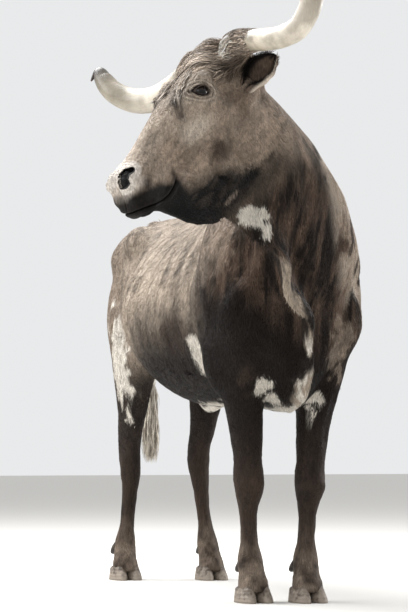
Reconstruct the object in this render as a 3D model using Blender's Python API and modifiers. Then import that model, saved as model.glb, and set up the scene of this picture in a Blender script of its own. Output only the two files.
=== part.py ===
"""A life-size Texas longhorn standing at rest, head raised and turned to its right.

The animal faces -Y and its left side is +X. Forms are first laid out from the floor under the
middle of the fore hooves, and the whole model is then moved so that its origin is the middle of
its own box on the floor. Run with: blender --background --python part.py
"""

import math
import random

import bmesh
import bpy
import numpy as np
from mathutils import Matrix, Vector, noise
from mathutils.bvhtree import BVHTree

# Driving sizes, in metres
STANCE = 1.145  # fore hooves to hind hooves, along the body
WITHERS = 1.355
BRISKET = 0.60
CHEST_HALF_WIDTH = 0.235
BARREL_HALF_WIDTH = 0.298
FORE_HOOF_SIDE = 0.082  # hoof centre from the middle plane
FORE_LEAN = -0.011  # both fore feet stand this far to its right of the chest's middle
FORE_HOOF_STEP = 0.026  # the left fore hoof stands this far ahead, the right one behind
HIND_HOOF_SIDE = 0.150
HIND_HOOF_STEP = 0.054
HEAD_TURN = math.radians(-70.5)  # about the vertical, from straight ahead to its right
HEAD_PITCH = math.radians(48.0)  # the line of the nose below level
HEAD_ROLL = math.radians(4.0)  # left side up
POLL = Vector((-0.393, -0.444, 1.685))
EYE_RADIUS = 0.0285
EYE_AT = (0.216, -0.034, 0.0865)  # along the face, above its line, to the side
EAR_LENGTH = 0.146
EAR_WAY = {1: (0.54, -0.20, 0.74), -1: (0.72, -0.44, 0.48)}  # outwards, ahead and up, by side
CLAW_LENGTH = 0.118
CLAW_HALF_WIDTH = 0.029
TOE_HEIGHT = 0.074
HEEL_HEIGHT = 0.040
GAP = 0.0003  # between touching nodes
KNEE = 0.372
HOCK = 0.455
EYE_TILT = 46.0  # degrees between the slit of the lids and the face
VOXEL = 0.0055

# Triangle shares
HEAD_TRIANGLES = 1800
BODY_TRIANGLES = 3100
LEG_TRIANGLES = 1400

random.seed(11)


def clear_scene():
    """Removes every object of the start-up scene."""
    for obj in list(bpy.data.objects):
        bpy.data.objects.remove(obj)


def new_collection(name):
    """A collection under the scene's own."""
    made = bpy.data.collections.new(name)
    bpy.context.scene.collection.children.link(made)
    return made


def add_object(name, mesh, collection):
    """An object of that mesh in a collection."""
    obj = bpy.data.objects.new(name, mesh)
    collection.objects.link(obj)
    return obj


def smooth_track(keys, count):
    """Rows on a smooth curve through rows of numbers, evenly spread along the first three."""
    keys = np.array(keys, float)
    steps = np.linalg.norm(np.diff(keys[:, :3], axis=0), axis=1)
    at = np.concatenate([[0.0], np.cumsum(steps)])
    slopes = np.gradient(keys, at, axis=0)
    out = []
    for t in np.linspace(0.0, at[-1], count):
        i = min(int(np.searchsorted(at, t, side="right")) - 1, len(keys) - 2)
        span = at[i + 1] - at[i]
        u = (t - at[i]) / span
        a = (1 + 2 * u) * (1 - u) ** 2 * keys[i] + u * (1 - u) ** 2 * span * slopes[i]
        b = u * u * (3 - 2 * u) * keys[i + 1] + u * u * (u - 1) * span * slopes[i + 1]
        out.append(a + b)
    return np.array(out)


def loft_mesh(name, rings):
    """A closed skin over rings of equal count, with a fan on each end."""
    mesh = bpy.data.meshes.new(name)
    form = bmesh.new()
    rows = [[form.verts.new(p) for p in ring] for ring in rings]
    sides = len(rows[0])
    for low, high in zip(rows, rows[1:]):
        for k in range(sides):
            n = (k + 1) % sides
            form.faces.new((low[k], low[n], high[n], high[k]))
    for row, turned in ((rows[0], True), (rows[-1], False)):
        middle = form.verts.new(sum((v.co for v in row), Vector()) / sides)
        for k in range(sides):
            pair = (row[k], row[(k + 1) % sides])
            form.faces.new((middle, *(reversed(pair) if turned else pair)))
    bmesh.ops.triangulate(form, faces=form.faces)
    bmesh.ops.recalc_face_normals(form, faces=form.faces)
    form.to_mesh(mesh)
    form.free()
    return mesh


def oval(top, bottom, side, half_width, belt=0.5, pinch_top=0.0, pinch_bottom=0.0, square=2.0, sides=36):
    """A closed oval between a top and a bottom point.

    belt is the share of the height at which it is widest, the pinches narrow its upper and lower
    shoulders, and square above 2 fills its corners.
    """
    waist = bottom.lerp(top, belt)
    ring = []
    for k in range(sides):
        angle = 2 * math.pi * k / sides
        c, s = math.cos(angle), math.sin(angle)
        across = math.copysign(abs(c) ** (2 / square), c) * half_width
        rise = math.copysign(abs(s) ** (2 / square), s)
        pinch = pinch_top if rise > 0 else pinch_bottom
        across *= 1 - pinch * rise * rise
        end = top if rise > 0 else bottom
        ring.append(waist + (end - waist) * abs(rise) + side * across)
    return ring


def body_loft(name, stations, rings, collection, sides=36):
    """A form through stations of (top point, bottom point, half width, belt, pinch top, pinch bottom).

    A station may end with a squareness of its section, which is round without one.
    """
    keys = [[*(Vector(t) + Vector(b)) / 2, *t, *b, *rest, *[2.0] * (5 - len(rest))] for t, b, *rest in stations]
    rows = smooth_track(keys, rings)
    path = [Vector(row[:3]) for row in rows]
    made = []
    for i, row in enumerate(rows):
        along = path[min(i + 1, rings - 1)] - path[max(i - 1, 0)]
        top, bottom = Vector(row[3:6]), Vector(row[6:9])
        side = along.cross(top - bottom).normalized()
        made.append(oval(top, bottom, side, *row[9:14], sides=sides))
    return add_object(name, loft_mesh(name, made), collection)


def muscle(name, centre, radii, collection, turn=(0, 0, 0)):
    """An egg of flesh that blends into its neighbours."""
    mesh = bpy.data.meshes.new(name)
    form = bmesh.new()
    bmesh.ops.create_icosphere(form, subdivisions=4, radius=1.0)
    place = Matrix.Translation(centre)
    for axis, angle in zip("ZYX", reversed(turn)):
        place = place @ Matrix.Rotation(math.radians(angle), 4, axis)
    bmesh.ops.transform(form, matrix=place @ Matrix.Diagonal((*radii, 1.0)), verts=form.verts)
    form.to_mesh(mesh)
    form.free()
    return add_object(name, mesh, collection)


# The head's own frame: x along the face from the poll, y up from the line of the nose, z to its left.
def head_matrix():
    """From the head's frame of (along, up, left) to the animal's."""
    turn = Matrix.Rotation(HEAD_TURN, 4, "Z")
    pitch = Matrix.Rotation(HEAD_PITCH, 4, "X")
    roll = Matrix.Rotation(-HEAD_ROLL, 4, "Y")
    axes = Matrix(((0, 0, 1, 0), (-1, 0, 0, 0), (0, 1, 0, 0), (0, 0, 0, 1)))
    return Matrix.Translation(POLL) @ turn @ pitch @ roll @ axes


HEAD = head_matrix()
HEAD_TURNED = HEAD.to_3x3()


def on_head(along, up, left=0.0):
    """A point of the head in the animal's frame."""
    return HEAD @ Vector((along, up, left))


def level_head(left, ahead, up):
    """A point named from the poll by left, ahead and up, with the head's turn but not its pitch."""
    turn = Matrix.Rotation(HEAD_TURN, 3, "Z")
    return POLL + turn @ Vector((left, -ahead, up))


def torso_forms(parts):
    """Trunk from the chest to the rump, with the shoulders, hips and thighs that shape it."""
    outline = [
        # along, top, bottom, half width, belt, pinch top, pinch bottom
        (-0.218, 1.06, 0.83, 0.05, 0.5, 0.1, 0.1),
        (-0.195, 1.14, 0.73, 0.115, 0.5, 0.15, 0.3),
        (-0.115, 1.26, BRISKET + 0.02, 0.180, 0.50, 0.25, 0.45),
        (0.00, 1.325, BRISKET, 0.215, 0.50, 0.40, 0.42),
        (0.13, WITHERS, BRISKET + 0.012, CHEST_HALF_WIDTH, 0.48, 0.50, 0.32),
        (0.30, 1.332, 0.622, 0.262, 0.46, 0.44, 0.20),
        (0.50, 1.308, 0.628, 0.290, 0.44, 0.38, 0.12),
        (0.68, 1.303, 0.642, BARREL_HALF_WIDTH, 0.45, 0.32, 0.10),
        (0.84, 1.318, 0.682, 0.278, 0.48, 0.26, 0.14),
        (0.98, 1.338, 0.745, 0.232, 0.52, 0.16, 0.22),
        (1.13, 1.342, 0.80, 0.205, 0.55, 0.14, 0.25),
        (1.27, 1.318, 0.86, 0.165, 0.55, 0.15, 0.2),
        (1.345, 1.255, 0.93, 0.115, 0.5, 0.1, 0.1),
        (1.37, 1.19, 1.00, 0.06, 0.5, 0.0, 0.0),
    ]
    stations = [((0, y, top), (0, y, low), *rest) for y, top, low, *rest in outline]
    body_loft("trunk", stations, 60, parts, sides=48)
    for side in (-1, 1):
        muscle("shoulder_blade", (side * 0.156, 0.050, 1.070), (0.092, 0.145, 0.240), parts, (-14, side * -8, 0))
        muscle("shoulder_point", (side * 0.150, -0.070, 0.90), (0.088, 0.120, 0.160), parts, (20, 0, 0))
        muscle("upper_arm", (side * 0.160, 0.060, 0.80), (0.074, 0.135, 0.160), parts, (-20, 0, 0))
        muscle("hip_bone", (side * 0.150, 0.960, 1.215), (0.076, 0.120, 0.088), parts, (0, side * 25, 0))
        muscle("pin_bone", (side * 0.082, 1.305, 1.165), (0.038, 0.052, 0.050), parts)
        muscle("rump", (side * 0.118, 1.13, 1.185), (0.102, 0.175, 0.115), parts)
        muscle("thigh", (side * 0.126, 1.165, 0.985), (0.094, 0.175, 0.235), parts, (8, 0, 0))
        muscle("stifle", (side * 0.158, 1.010, 0.830), (0.055, 0.085, 0.140), parts, (25, 0, 0))
    muscle("navel_fold", (0, 0.66, 0.645), (0.022, 0.120, 0.036), parts)
    muscle("brisket", (0, -0.06, 0.675), (0.066, 0.150, 0.072), parts, (-12, 0, 0))


def neck_forms(parts):
    """Neck from the withers to the skull, its throat, and the dewlap below it."""
    stations = [
        # crest, throat, half width, belt, pinch top, pinch bottom
        ((0, 0.20, 1.315), (0, 0.06, 0.76), 0.216, 0.5, 0.4, 0.3),
        ((0.000, 0.05, 1.350), (0, -0.15, 0.80), 0.235, 0.43, 0.63, 0.36),
        ((-0.004, -0.080, 1.385), (-0.02, -0.245, 0.91), 0.194, 0.45, 0.66, 0.44),
        ((-0.042, -0.200, 1.450), (-0.09, -0.325, 1.025), 0.142, 0.55, 0.44, 0.50),
        ((-0.130, -0.300, 1.520), (-0.20, -0.395, 1.120), 0.119, 0.58, 0.40, 0.56),
        ((-0.235, -0.372, 1.585), (-0.335, -0.440, 1.185), 0.102, 0.62, 0.35, 0.62),
        ((-0.320, -0.410, 1.615), (-0.440, -0.470, 1.205), 0.082, 0.64, 0.3, 0.6),
    ]
    body_loft("neck_mass", stations, 34, parts)
    fold = [
        # the dewlap hangs from the chin to the brisket: root, edge, half thickness
        (on_head(0.520, -0.170), on_head(0.520, -0.214), 0.016),
        (on_head(0.462, -0.230), on_head(0.468, -0.310), 0.024),
        (on_head(0.395, -0.280), on_head(0.405, -0.366), 0.024),
        (Vector((-0.375, -0.450, 1.300)), Vector((-0.392, -0.466, 1.168)), 0.022),
        (Vector((-0.260, -0.400, 1.230)), Vector((-0.262, -0.452, 1.100)), 0.019),
        (Vector((-0.150, -0.335, 1.120)), Vector((-0.148, -0.430, 0.990)), 0.017),
        (Vector((-0.068, -0.255, 1.010)), Vector((-0.060, -0.362, 0.880)), 0.016),
        (Vector((-0.020, -0.175, 0.920)), Vector((-0.016, -0.296, 0.795)), 0.016),
        (Vector((0.000, -0.120, 0.800)), Vector((0.000, -0.246, 0.705)), 0.016),
        (Vector((0.000, -0.070, 0.710)), Vector((0.000, -0.190, 0.626)), 0.017),
        (Vector((0.000, -0.010, 0.660)), Vector((0.000, -0.070, 0.590)), 0.016),
    ]
    rows = smooth_track([[*r, *e, t] for r, e, t in fold], 90)
    rings = []
    for i, row in enumerate(rows):
        root, edge = Vector(row[:3]), Vector(row[3:6])
        along = Vector(rows[min(i + 1, 89)][:3]) - Vector(rows[max(i - 1, 0)][:3])
        side = along.cross(root - edge).normalized()
        share = i / 89
        swell = math.sin(math.pi * min(1.0, max(0.0, (share - 0.22) / 0.7)))
        wave = math.sin(share * 31.0) * 0.013 * swell + math.sin(share * 17.0 + 1.0) * 0.009 * swell
        edge = edge + side * wave + (edge - root).normalized() * math.sin(share * 44.0) * 0.006 * swell
        ring = oval(root, edge, side, row[6], 0.5, 0.0, 0.25, 2.4, 16)
        bend = [p + side * wave * 0.5 * (p - root).length / (edge - root).length for p in ring]
        rings.append(bend)
    add_object("dewlap_fold", loft_mesh("dewlap_fold", rings), parts)


def head_forms(parts):
    """Skull with its jaw and muzzle, the cheeks, brows, lips and the bosses of ears and horns."""
    skull = [
        # along at the top, top, along at the bottom, bottom, half width, belt, pinch top and bottom, square
        (-0.055, -0.050, -0.055, -0.160, 0.050, 0.5, 0.1, 0.1, 2.0),
        (-0.032, -0.014, -0.032, -0.210, 0.080, 0.60, 0.26, 0.25, 2.2),
        (0.010, 0.006, 0.010, -0.245, 0.093, 0.66, 0.36, 0.38, 2.2),
        (0.060, 0.010, 0.060, -0.295, 0.090, 0.69, 0.42, 0.42, 2.3),
        (0.110, 0.008, 0.110, -0.345, 0.092, 0.74, 0.38, 0.42, 2.5),
        (0.165, 0.004, 0.165, -0.372, 0.100, 0.78, 0.22, 0.42, 2.8),
        (0.215, 0.000, 0.215, -0.384, 0.106, 0.80, 0.08, 0.44, 2.8),
        (0.270, 0.000, 0.270, -0.388, 0.097, 0.78, 0.06, 0.46, 2.6),
        (0.326, -0.001, 0.330, -0.380, 0.080, 0.73, 0.12, 0.48, 2.5),
        (0.385, -0.005, 0.392, -0.350, 0.068, 0.68, 0.18, 0.44, 2.4),
        (0.435, -0.012, 0.450, -0.288, 0.063, 0.62, 0.20, 0.34, 2.3),
        (0.478, -0.018, 0.504, -0.214, 0.067, 0.58, 0.18, 0.26, 2.3),
        (0.510, -0.023, 0.552, -0.176, 0.072, 0.58, 0.14, 0.22, 2.4),
        (0.538, -0.028, 0.588, -0.160, 0.069, 0.58, 0.10, 0.20, 2.4),
        (0.562, -0.040, 0.608, -0.144, 0.056, 0.54, 0.08, 0.16, 2.3),
        (0.578, -0.066, 0.609, -0.126, 0.030, 0.5, 0.0, 0.0, 2.0),
    ]
    stations = [(on_head(x, top), on_head(u, low), *rest) for x, top, u, low, *rest in skull]
    body_loft("skull", stations, 56, parts, sides=44)
    for side in (-1, 1):
        head_muscle("cheek", (0.155, -0.220, side * 0.054), (0.105, 0.100, 0.044), parts)
        head_muscle("brow", (0.186, -0.024, side * 0.074), (0.060, 0.030, 0.040), parts)
        head_muscle("orbit", (0.212, -0.050, side * 0.074), (0.062, 0.050, 0.041), parts)
        head_muscle("face_crest", (0.315, -0.105, side * 0.052), (0.085, 0.020, 0.022), parts)
        head_muscle("horn_boss", (0.026, -0.044, side * 0.098), (0.044, 0.040, 0.048), parts)
        head_muscle("ear_boss", (0.086, -0.144, side * 0.084), (0.040, 0.042, 0.034), parts)
        head_muscle("nostril_wing", (0.548, -0.058, side * 0.038), (0.036, 0.034, 0.032), parts)
        head_muscle("upper_lip", (0.540, -0.098, side * 0.038), (0.060, 0.028, 0.038), parts)
        head_muscle("lower_lip", (0.556, -0.152, side * 0.024), (0.044, 0.021, 0.034), parts)


def head_muscle(name, at, radii, parts):
    """A muscle placed and turned in the head's frame."""
    made = muscle(name, (0, 0, 0), radii, parts)
    made.data.transform(HEAD @ Matrix.Translation(at))
    made.data.flip_normals()
    return made


def foreleg_form(side, parts):
    """One foreleg from the upper arm to inside the hooves."""
    column = [
        # height, from the middle plane, front, back, half width
        (0.88, 0.150, -0.150, 0.095, 0.070),
        (0.77, 0.142, -0.130, 0.112, 0.073),
        (0.68, 0.130, -0.098, 0.108, 0.067),
        (0.60, 0.119, -0.070, 0.074, 0.059),
        (0.52, 0.110, -0.058, 0.052, 0.052),
        (0.44, 0.104, -0.055, 0.040, 0.0475),
        (0.385, 0.100, -0.060, 0.037, 0.051),
        (0.340, 0.098, -0.054, 0.036, 0.046),
        (0.300, 0.096, -0.036, 0.035, 0.034),
        (0.240, 0.093, -0.030, 0.034, 0.0285),
        (0.185, 0.090, -0.030, 0.037, 0.030),
        (0.148, 0.088, -0.035, 0.046, 0.040),
        (0.118, 0.087, -0.043, 0.047, 0.043),
        (0.092, 0.086, -0.053, 0.040, 0.042),
        (0.066, 0.085, -0.066, 0.036, 0.049),
        (0.030, 0.085, -0.074, 0.032, 0.052),
    ]
    stations = []
    for z, out, front, back, half in column:
        shift = -side * FORE_HOOF_STEP * min(1.0, max(0.0, (0.8 - z) / 0.6))
        x = side * (out - 0.085 + FORE_HOOF_SIDE) + FORE_LEAN * min(1.0, max(0.0, (0.75 - z) / 0.35))
        stations.append(((x, front + shift, z), (x, back + shift, z), half, 0.5, 0.06, 0.10))
    body_loft("foreleg_form", stations, 64, parts, sides=28)
    muscle("knee_bone", (side * 0.096 + FORE_LEAN, -0.038 - side * 0.022, 0.372), (0.045, 0.026, 0.042), parts)


def hindleg_form(side, parts):
    """One hind leg from the thigh to inside the hooves, with the point of its hock."""
    column = [
        (1.02, 0.135, 0.970, 1.335, 0.095),
        (0.90, 0.136, 0.945, 1.335, 0.090),
        (0.80, 0.140, 0.965, 1.315, 0.076),
        (0.70, 0.138, 1.020, 1.298, 0.059),
        (0.62, 0.134, 1.074, 1.285, 0.047),
        (0.545, 0.132, 1.122, 1.292, 0.041),
        (0.490, 0.126, 1.158, 1.304, 0.038),
        (0.435, 0.123, 1.176, 1.282, 0.041),
        (0.385, 0.123, 1.184, 1.256, 0.038),
        (0.330, 0.126, 1.186, 1.243, 0.031),
        (0.260, 0.131, 1.182, 1.238, 0.0275),
        (0.190, 0.138, 1.174, 1.237, 0.030),
        (0.148, 0.142, 1.166, 1.245, 0.039),
        (0.116, 0.145, 1.156, 1.245, 0.042),
        (0.088, 0.148, 1.144, 1.236, 0.042),
        (0.062, 0.150, 1.130, 1.232, 0.048),
        (0.030, 0.150, 1.122, 1.228, 0.050),
    ]
    stations = []
    for z, out, front, back, half in column:
        shift = -side * HIND_HOOF_STEP * min(1.0, max(0.0, (1.0 - z) / 0.85))
        shift += STANCE - 1.190
        x = side * out
        stations.append(((x, front + shift, z), (x, back + shift, z), half, 0.5, 0.08, 0.16))
    body_loft("hindleg_form", stations, 72, parts, sides=28)


def joined_flesh(parts, name):
    """All forms of the collection as one closed surface, remeshed and smoothed."""
    mesh = bpy.data.meshes.new(name)
    form = bmesh.new()
    for obj in list(parts.objects):
        form.from_mesh(obj.data)
        bpy.data.objects.remove(obj)
    form.to_mesh(mesh)
    form.free()
    flesh = add_object(name, mesh, parts)
    remesh = flesh.modifiers.new("one_surface", "REMESH")
    remesh.mode = "VOXEL"
    remesh.voxel_size = VOXEL
    apply_modifiers(flesh)
    return flesh


def apply_modifiers(obj):
    """Replaces an object's mesh with the one its modifiers give."""
    graph = bpy.context.evaluated_depsgraph_get()
    fresh = bpy.data.meshes.new_from_object(obj.evaluated_get(graph), depsgraph=graph)
    obj.modifiers.clear()
    obj.data = fresh


def mesh_points(obj):
    """The object's vertex positions as an array."""
    points = np.empty(len(obj.data.vertices) * 3)
    obj.data.vertices.foreach_get("co", points)
    return points.reshape(-1, 3)


def mesh_normals(obj):
    """The object's vertex normals as an array."""
    normals = np.empty(len(obj.data.vertices) * 3, np.float32)
    obj.data.vertex_normals.foreach_get("vector", normals)
    return normals.reshape(-1, 3).astype(float)


def set_points(obj, points):
    """Writes vertex positions back."""
    obj.data.vertices.foreach_set("co", points.astype(np.float32).ravel())
    obj.data.update()


def relax(obj, rounds, weight=None, strength=0.5):
    """Evens the surface out by moving each vertex towards its neighbours, as a smoothing brush does."""
    points = mesh_points(obj)
    edges = np.empty(len(obj.data.edges) * 2, np.int64)
    obj.data.edges.foreach_get("vertices", edges)
    edges = edges.reshape(-1, 2)
    count = np.bincount(edges.ravel(), minlength=len(points))[:, None]
    share = strength if weight is None else strength * weight[:, None]
    for _ in range(rounds):
        total = np.zeros_like(points)
        for axis in range(3):
            total[:, axis] = np.bincount(edges[:, 0], points[edges[:, 1], axis], len(points))
            total[:, axis] += np.bincount(edges[:, 1], points[edges[:, 0], axis], len(points))
        points = points + (total / np.maximum(count, 1) - points) * share
    set_points(obj, points)


def swell(points, centre, radii, push, turned=None):
    """Moves points near a centre along a push, fading to nothing at the radii."""
    near = points - np.array(centre)
    if turned is not None:
        near = near @ np.array(turned)
    reach = np.clip(1 - np.sum((near / np.array(radii)) ** 2, axis=1), 0, 1)
    return points + (reach * reach)[:, None] * np.array(push)


def sculpt_body(flesh):
    """Ribs, flank hollow, shoulder edge and the hollows by the hips, pressed into the flesh."""
    points = mesh_points(flesh)
    normals = mesh_normals(flesh)
    x, y, z = points.T
    ribs = np.clip((y - 0.24) / 0.12, 0, 1) * np.clip((0.86 - y) / 0.10, 0, 1)
    ribs *= np.clip((z - 0.72) / 0.12, 0, 1) * np.clip((1.24 - z) / 0.12, 0, 1) * (abs(x) > 0.12)
    wave = np.sin((y + 0.16 * (1.0 - z)) * 2 * math.pi / 0.082 + 0.9 * np.sin(y * 17.0))
    points = points + normals * (0.0020 * ribs * wave)[:, None]
    for side in (-1, 1):
        out = np.array((side, 0, 0))
        points = swell(points, (side * 0.27, 0.880, 1.11), (0.16, 0.14, 0.16), out * -0.020)
        points = swell(points, (side * 0.24, 0.235, 1.02), (0.10, 0.05, 0.26), out * -0.014)
        points = swell(points, (side * 0.18, 1.21, 1.27), (0.08, 0.10, 0.07), out * -0.016)
        points = swell(points, (side * 0.21, 0.19, 0.70), (0.10, 0.07, 0.09), out * -0.014)
    set_points(flesh, points)


def cut_tool(name, mesh, tools):
    """A hidden cutting body."""
    tool = add_object(name, mesh, tools)
    tool.hide_render = True
    tool.display_type = "WIRE"
    return tool


def wedge(name, corners, tools, grow=0.0):
    """The convex block over some corners, its faces moved out by grow."""
    mesh = bpy.data.meshes.new(name)
    form = bmesh.new()
    for corner in corners:
        form.verts.new(corner)
    hull = bmesh.ops.convex_hull(form, input=form.verts)
    loose = {v for v in hull["geom_interior"] + hull["geom_unused"] if isinstance(v, bmesh.types.BMVert)}
    bmesh.ops.delete(form, geom=list(loose), context="VERTS")
    bmesh.ops.recalc_face_normals(form, faces=form.faces)
    bmesh.ops.dissolve_limit(form, angle_limit=0.01, verts=form.verts, edges=form.edges)
    form.normal_update()
    moves = [v.normal * v.calc_shell_factor() * grow for v in form.verts]
    for v, move in zip(form.verts, moves):
        v.co += move
    form.to_mesh(mesh)
    form.free()
    return cut_tool(name, mesh, tools)


def prism(name, profile, axis, low, high, tools, grow=0.0):
    """A block with one profile drawn out along an axis, x or y."""
    if axis == "x":
        corners = [(at, u, v) for at in (low, high) for u, v in profile]
    else:
        corners = [(u, at, v) for at in (low, high) for u, v in profile]
    return wedge(name, corners, tools, grow)


def boolean(obj, tool, operation, solver="MANIFOLD"):
    """Applies one Boolean of a tool to an object."""
    step = obj.modifiers.new(operation.lower(), "BOOLEAN")
    step.operation = operation
    step.object = tool
    step.solver = solver
    apply_modifiers(obj)


def keep_largest(obj):
    """Leaves only the largest closed surface of the object's mesh."""
    form = bmesh.new()
    form.from_mesh(obj.data)
    left = set(form.verts)
    groups = []
    while left:
        stack = [left.pop()]
        group = []
        while stack:
            vert = stack.pop()
            group.append(vert)
            for edge in vert.link_edges:
                other = edge.other_vert(vert)
                if other in left:
                    left.remove(other)
                    stack.append(other)
        groups.append(group)
    groups.sort(key=len)
    spare = [vert for group in groups[:-1] for vert in group]
    bmesh.ops.delete(form, geom=spare, context="VERTS")
    form.to_mesh(obj.data)
    form.free()


def tidy_mesh(obj):
    """Plain triangles; doubled points and needle faces go where the surface stays closed."""
    for reach in (0.00004, 0.000004, 0.0):
        form = bmesh.new()
        form.from_mesh(obj.data)
        if reach:
            bmesh.ops.remove_doubles(form, verts=form.verts, dist=reach)
            bmesh.ops.dissolve_degenerate(form, edges=form.edges, dist=reach)
        bmesh.ops.triangulate(form, faces=form.faces)
        closed = all(edge.is_manifold for edge in form.edges)
        if closed or not reach:
            form.to_mesh(obj.data)
            form.free()
            return
        form.free()


def piece_of(flesh, name, nodes, keep=(), drop=()):
    """One node cut from the flesh: what lies in all of keep and in none of drop."""
    node = add_object(name, flesh.data.copy(), nodes)
    for tool in keep:
        boolean(node, tool, "INTERSECT")
    for tool in drop:
        boolean(node, tool, "DIFFERENCE")
    keep_largest(node)
    tidy_mesh(node)
    return node


def remove_all(objects):
    """Deletes the objects."""
    for obj in objects:
        bpy.data.objects.remove(obj)


def thin_out(obj, shares):
    """Reduces the triangles region by region; shares holds (face picker, triangles to keep)."""
    form = bmesh.new()
    form.from_mesh(obj.data)
    bmesh.ops.triangulate(form, faces=form.faces)
    form.to_mesh(obj.data)
    form.free()
    bpy.context.view_layer.objects.active = obj
    for picked, target in shares:
        for _ in range(6):
            faces = len(obj.data.polygons)
            centres = np.empty(faces * 3)
            obj.data.polygons.foreach_get("center", centres)
            mask = picked(centres.reshape(-1, 3))
            count = int(mask.sum())
            if count <= target * 1.03:
                break
            bpy.ops.object.mode_set(mode="EDIT")
            bpy.ops.mesh.select_mode(type="FACE")
            bpy.ops.mesh.select_all(action="DESELECT")
            bpy.ops.object.mode_set(mode="OBJECT")
            obj.data.polygons.foreach_set("select", mask)
            bpy.ops.object.mode_set(mode="EDIT")
            bpy.ops.mesh.decimate(ratio=max(target / count, 0.05))
            bpy.ops.object.mode_set(mode="OBJECT")


# Points of both horns from root to tip: left, ahead and up from the poll, and the radius there.
DEWLAP_EDGE = [
    # where the fold below the neck hangs free, from the throat to the brisket
    (-0.200, -0.430, 1.060),
    (-0.148, -0.430, 0.990),
    (-0.060, -0.362, 0.880),
    (-0.016, -0.296, 0.795),
    (0.0, -0.246, 0.705),
    (0.0, -0.190, 0.626),
]
HORN_LEFT = [
    (0.090, 0.000, -0.036, 0.0330),
    (0.135, 0.014, -0.030, 0.0335),
    (0.200, 0.021, -0.034, 0.0330),
    (0.282, 0.033, -0.045, 0.0325),
    (0.374, 0.046, -0.052, 0.0322),
    (0.446, 0.054, -0.040, 0.0320),
    (0.488, 0.055, 0.000, 0.0315),
    (0.507, 0.053, 0.053, 0.0310),
    (0.519, 0.046, 0.135, 0.0290),
    (0.522, 0.027, 0.225, 0.0240),
    (0.528, -0.002, 0.305, 0.0160),
    (0.541, -0.026, 0.360, 0.0075),
    (0.545, -0.031, 0.371, 0.0030),
]
HORN_RIGHT = [
    (-0.090, -0.020, -0.042, 0.0350),
    (-0.150, -0.038, -0.062, 0.0370),
    (-0.230, -0.046, -0.094, 0.0385),
    (-0.335, -0.036, -0.124, 0.0400),
    (-0.418, -0.016, -0.116, 0.0385),
    (-0.478, 0.012, -0.082, 0.0345),
    (-0.514, 0.022, -0.042, 0.0290),
    (-0.532, 0.026, -0.018, 0.0190),
    (-0.545, 0.027, -0.016, 0.0105),
    (-0.556, 0.034, -0.034, 0.0050),
    (-0.560, 0.037, -0.042, 0.0020),
]


def horn_mesh(side, grow=0.0):
    """One horn as a curved cone with growth swells at its root."""
    keys = [(*level_head(*row[:3]), row[3]) for row in (HORN_LEFT if side > 0 else HORN_RIGHT)]
    rows = smooth_track(keys, 19)
    rings = []
    for i, row in enumerate(rows):
        along = Vector(rows[min(i + 1, 18)][:3]) - Vector(rows[max(i - 1, 0)][:3])
        up = Vector((0.25, -0.15, 1.0))
        side_way = along.cross(up).normalized()
        up = side_way.cross(along).normalized()
        radius = max(row[3], 0.0015) + grow + (0.0006 * math.sin(i * 2.6) if 2 < i < 12 else 0.0)
        centre = Vector(row[:3])
        if i == 0:
            centre -= along.normalized() * grow
        rings.append(oval(centre + up * radius, centre - up * radius, side_way, radius, sides=12))
    return loft_mesh("horn", rings)


EAR_SHAPE = [
    # share of the length, half width, depth of the cup, thickness, how far the rims close in
    (0.00, 0.020, 0.026, 0.018, 0.9),
    (0.14, 0.027, 0.030, 0.012, 0.8),
    (0.28, 0.037, 0.033, 0.0075, 0.62),
    (0.45, 0.044, 0.031, 0.0060, 0.46),
    (0.62, 0.043, 0.025, 0.0055, 0.34),
    (0.78, 0.034, 0.018, 0.0050, 0.24),
    (0.91, 0.020, 0.009, 0.0045, 0.16),
    (1.00, 0.006, 0.002, 0.0030, 0.10),
]


def ear_frame(side):
    """The ear's root, the way it points, the way its hollow faces and the way across it."""
    out, ahead, up = EAR_WAY[side]
    axis = (level_head(side * out, ahead, up) - POLL).normalized()
    face = (level_head(side * 0.46, 0.88, -0.12) - POLL).normalized()
    face = (face - axis * face.dot(axis)).normalized()
    return on_head(0.084, -0.146, side * 0.090), axis, face, axis.cross(face) * side


def ear_centre(share, depth, frame):
    """Middle of the ear's section at a share of its length."""
    root, axis, face, _ = frame
    bend = face * (-0.020 * share * share) + Vector((0, 0, -0.016 * share * share))
    return root + axis * (EAR_LENGTH * share) + bend + face * depth * 0.35


def ear_mesh(side):
    """One ear: a leaf-shaped cup whose hollow faces ahead, on a short stalk."""
    frame = ear_frame(side)
    _, _, face, across = frame
    rings = []
    for share, _, _, half, depth, thick, close in smooth_track([(s, 0, 0, *rest) for s, *rest in EAR_SHAPE], 10):
        centre = ear_centre(share, depth, frame)
        spread = math.pi * (0.5 + 0.42 * close)
        ring = []
        for k in range(9):
            angle = spread * (k / 4 - 1)
            ring.append(centre + across * math.sin(angle) * half - face * math.cos(angle) * depth)
        for k in range(6, -1, -1):
            angle = spread * 0.93 * (k / 3 - 1)
            wall_half, wall_depth = max(half - thick, half * 0.12), max(depth - thick, -depth)
            ring.append(centre + across * math.sin(angle) * wall_half - face * math.cos(angle) * wall_depth)
        rings.append(ring)
    return loft_mesh("ear", rings)


def ear_socket(side):
    """The hole in the head that the ear's stalk stands in, a gap wider all round."""
    frame = ear_frame(side)
    _, _, face, across = frame
    rings = []
    for share, half, depth, _, _ in [(-GAP / EAR_LENGTH, *EAR_SHAPE[0][1:]), *EAR_SHAPE[1:4]]:
        centre = ear_centre(share, depth, frame)
        half, depth = half / math.cos(math.pi / 24) + 4 * GAP, depth / math.cos(math.pi / 24) + 4 * GAP
        rings.append([centre + across * math.sin(a) * half - face * math.cos(a) * depth
                      for a in (2 * math.pi * k / 24 for k in range(24))])
    return loft_mesh("ear_socket", rings)


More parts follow.
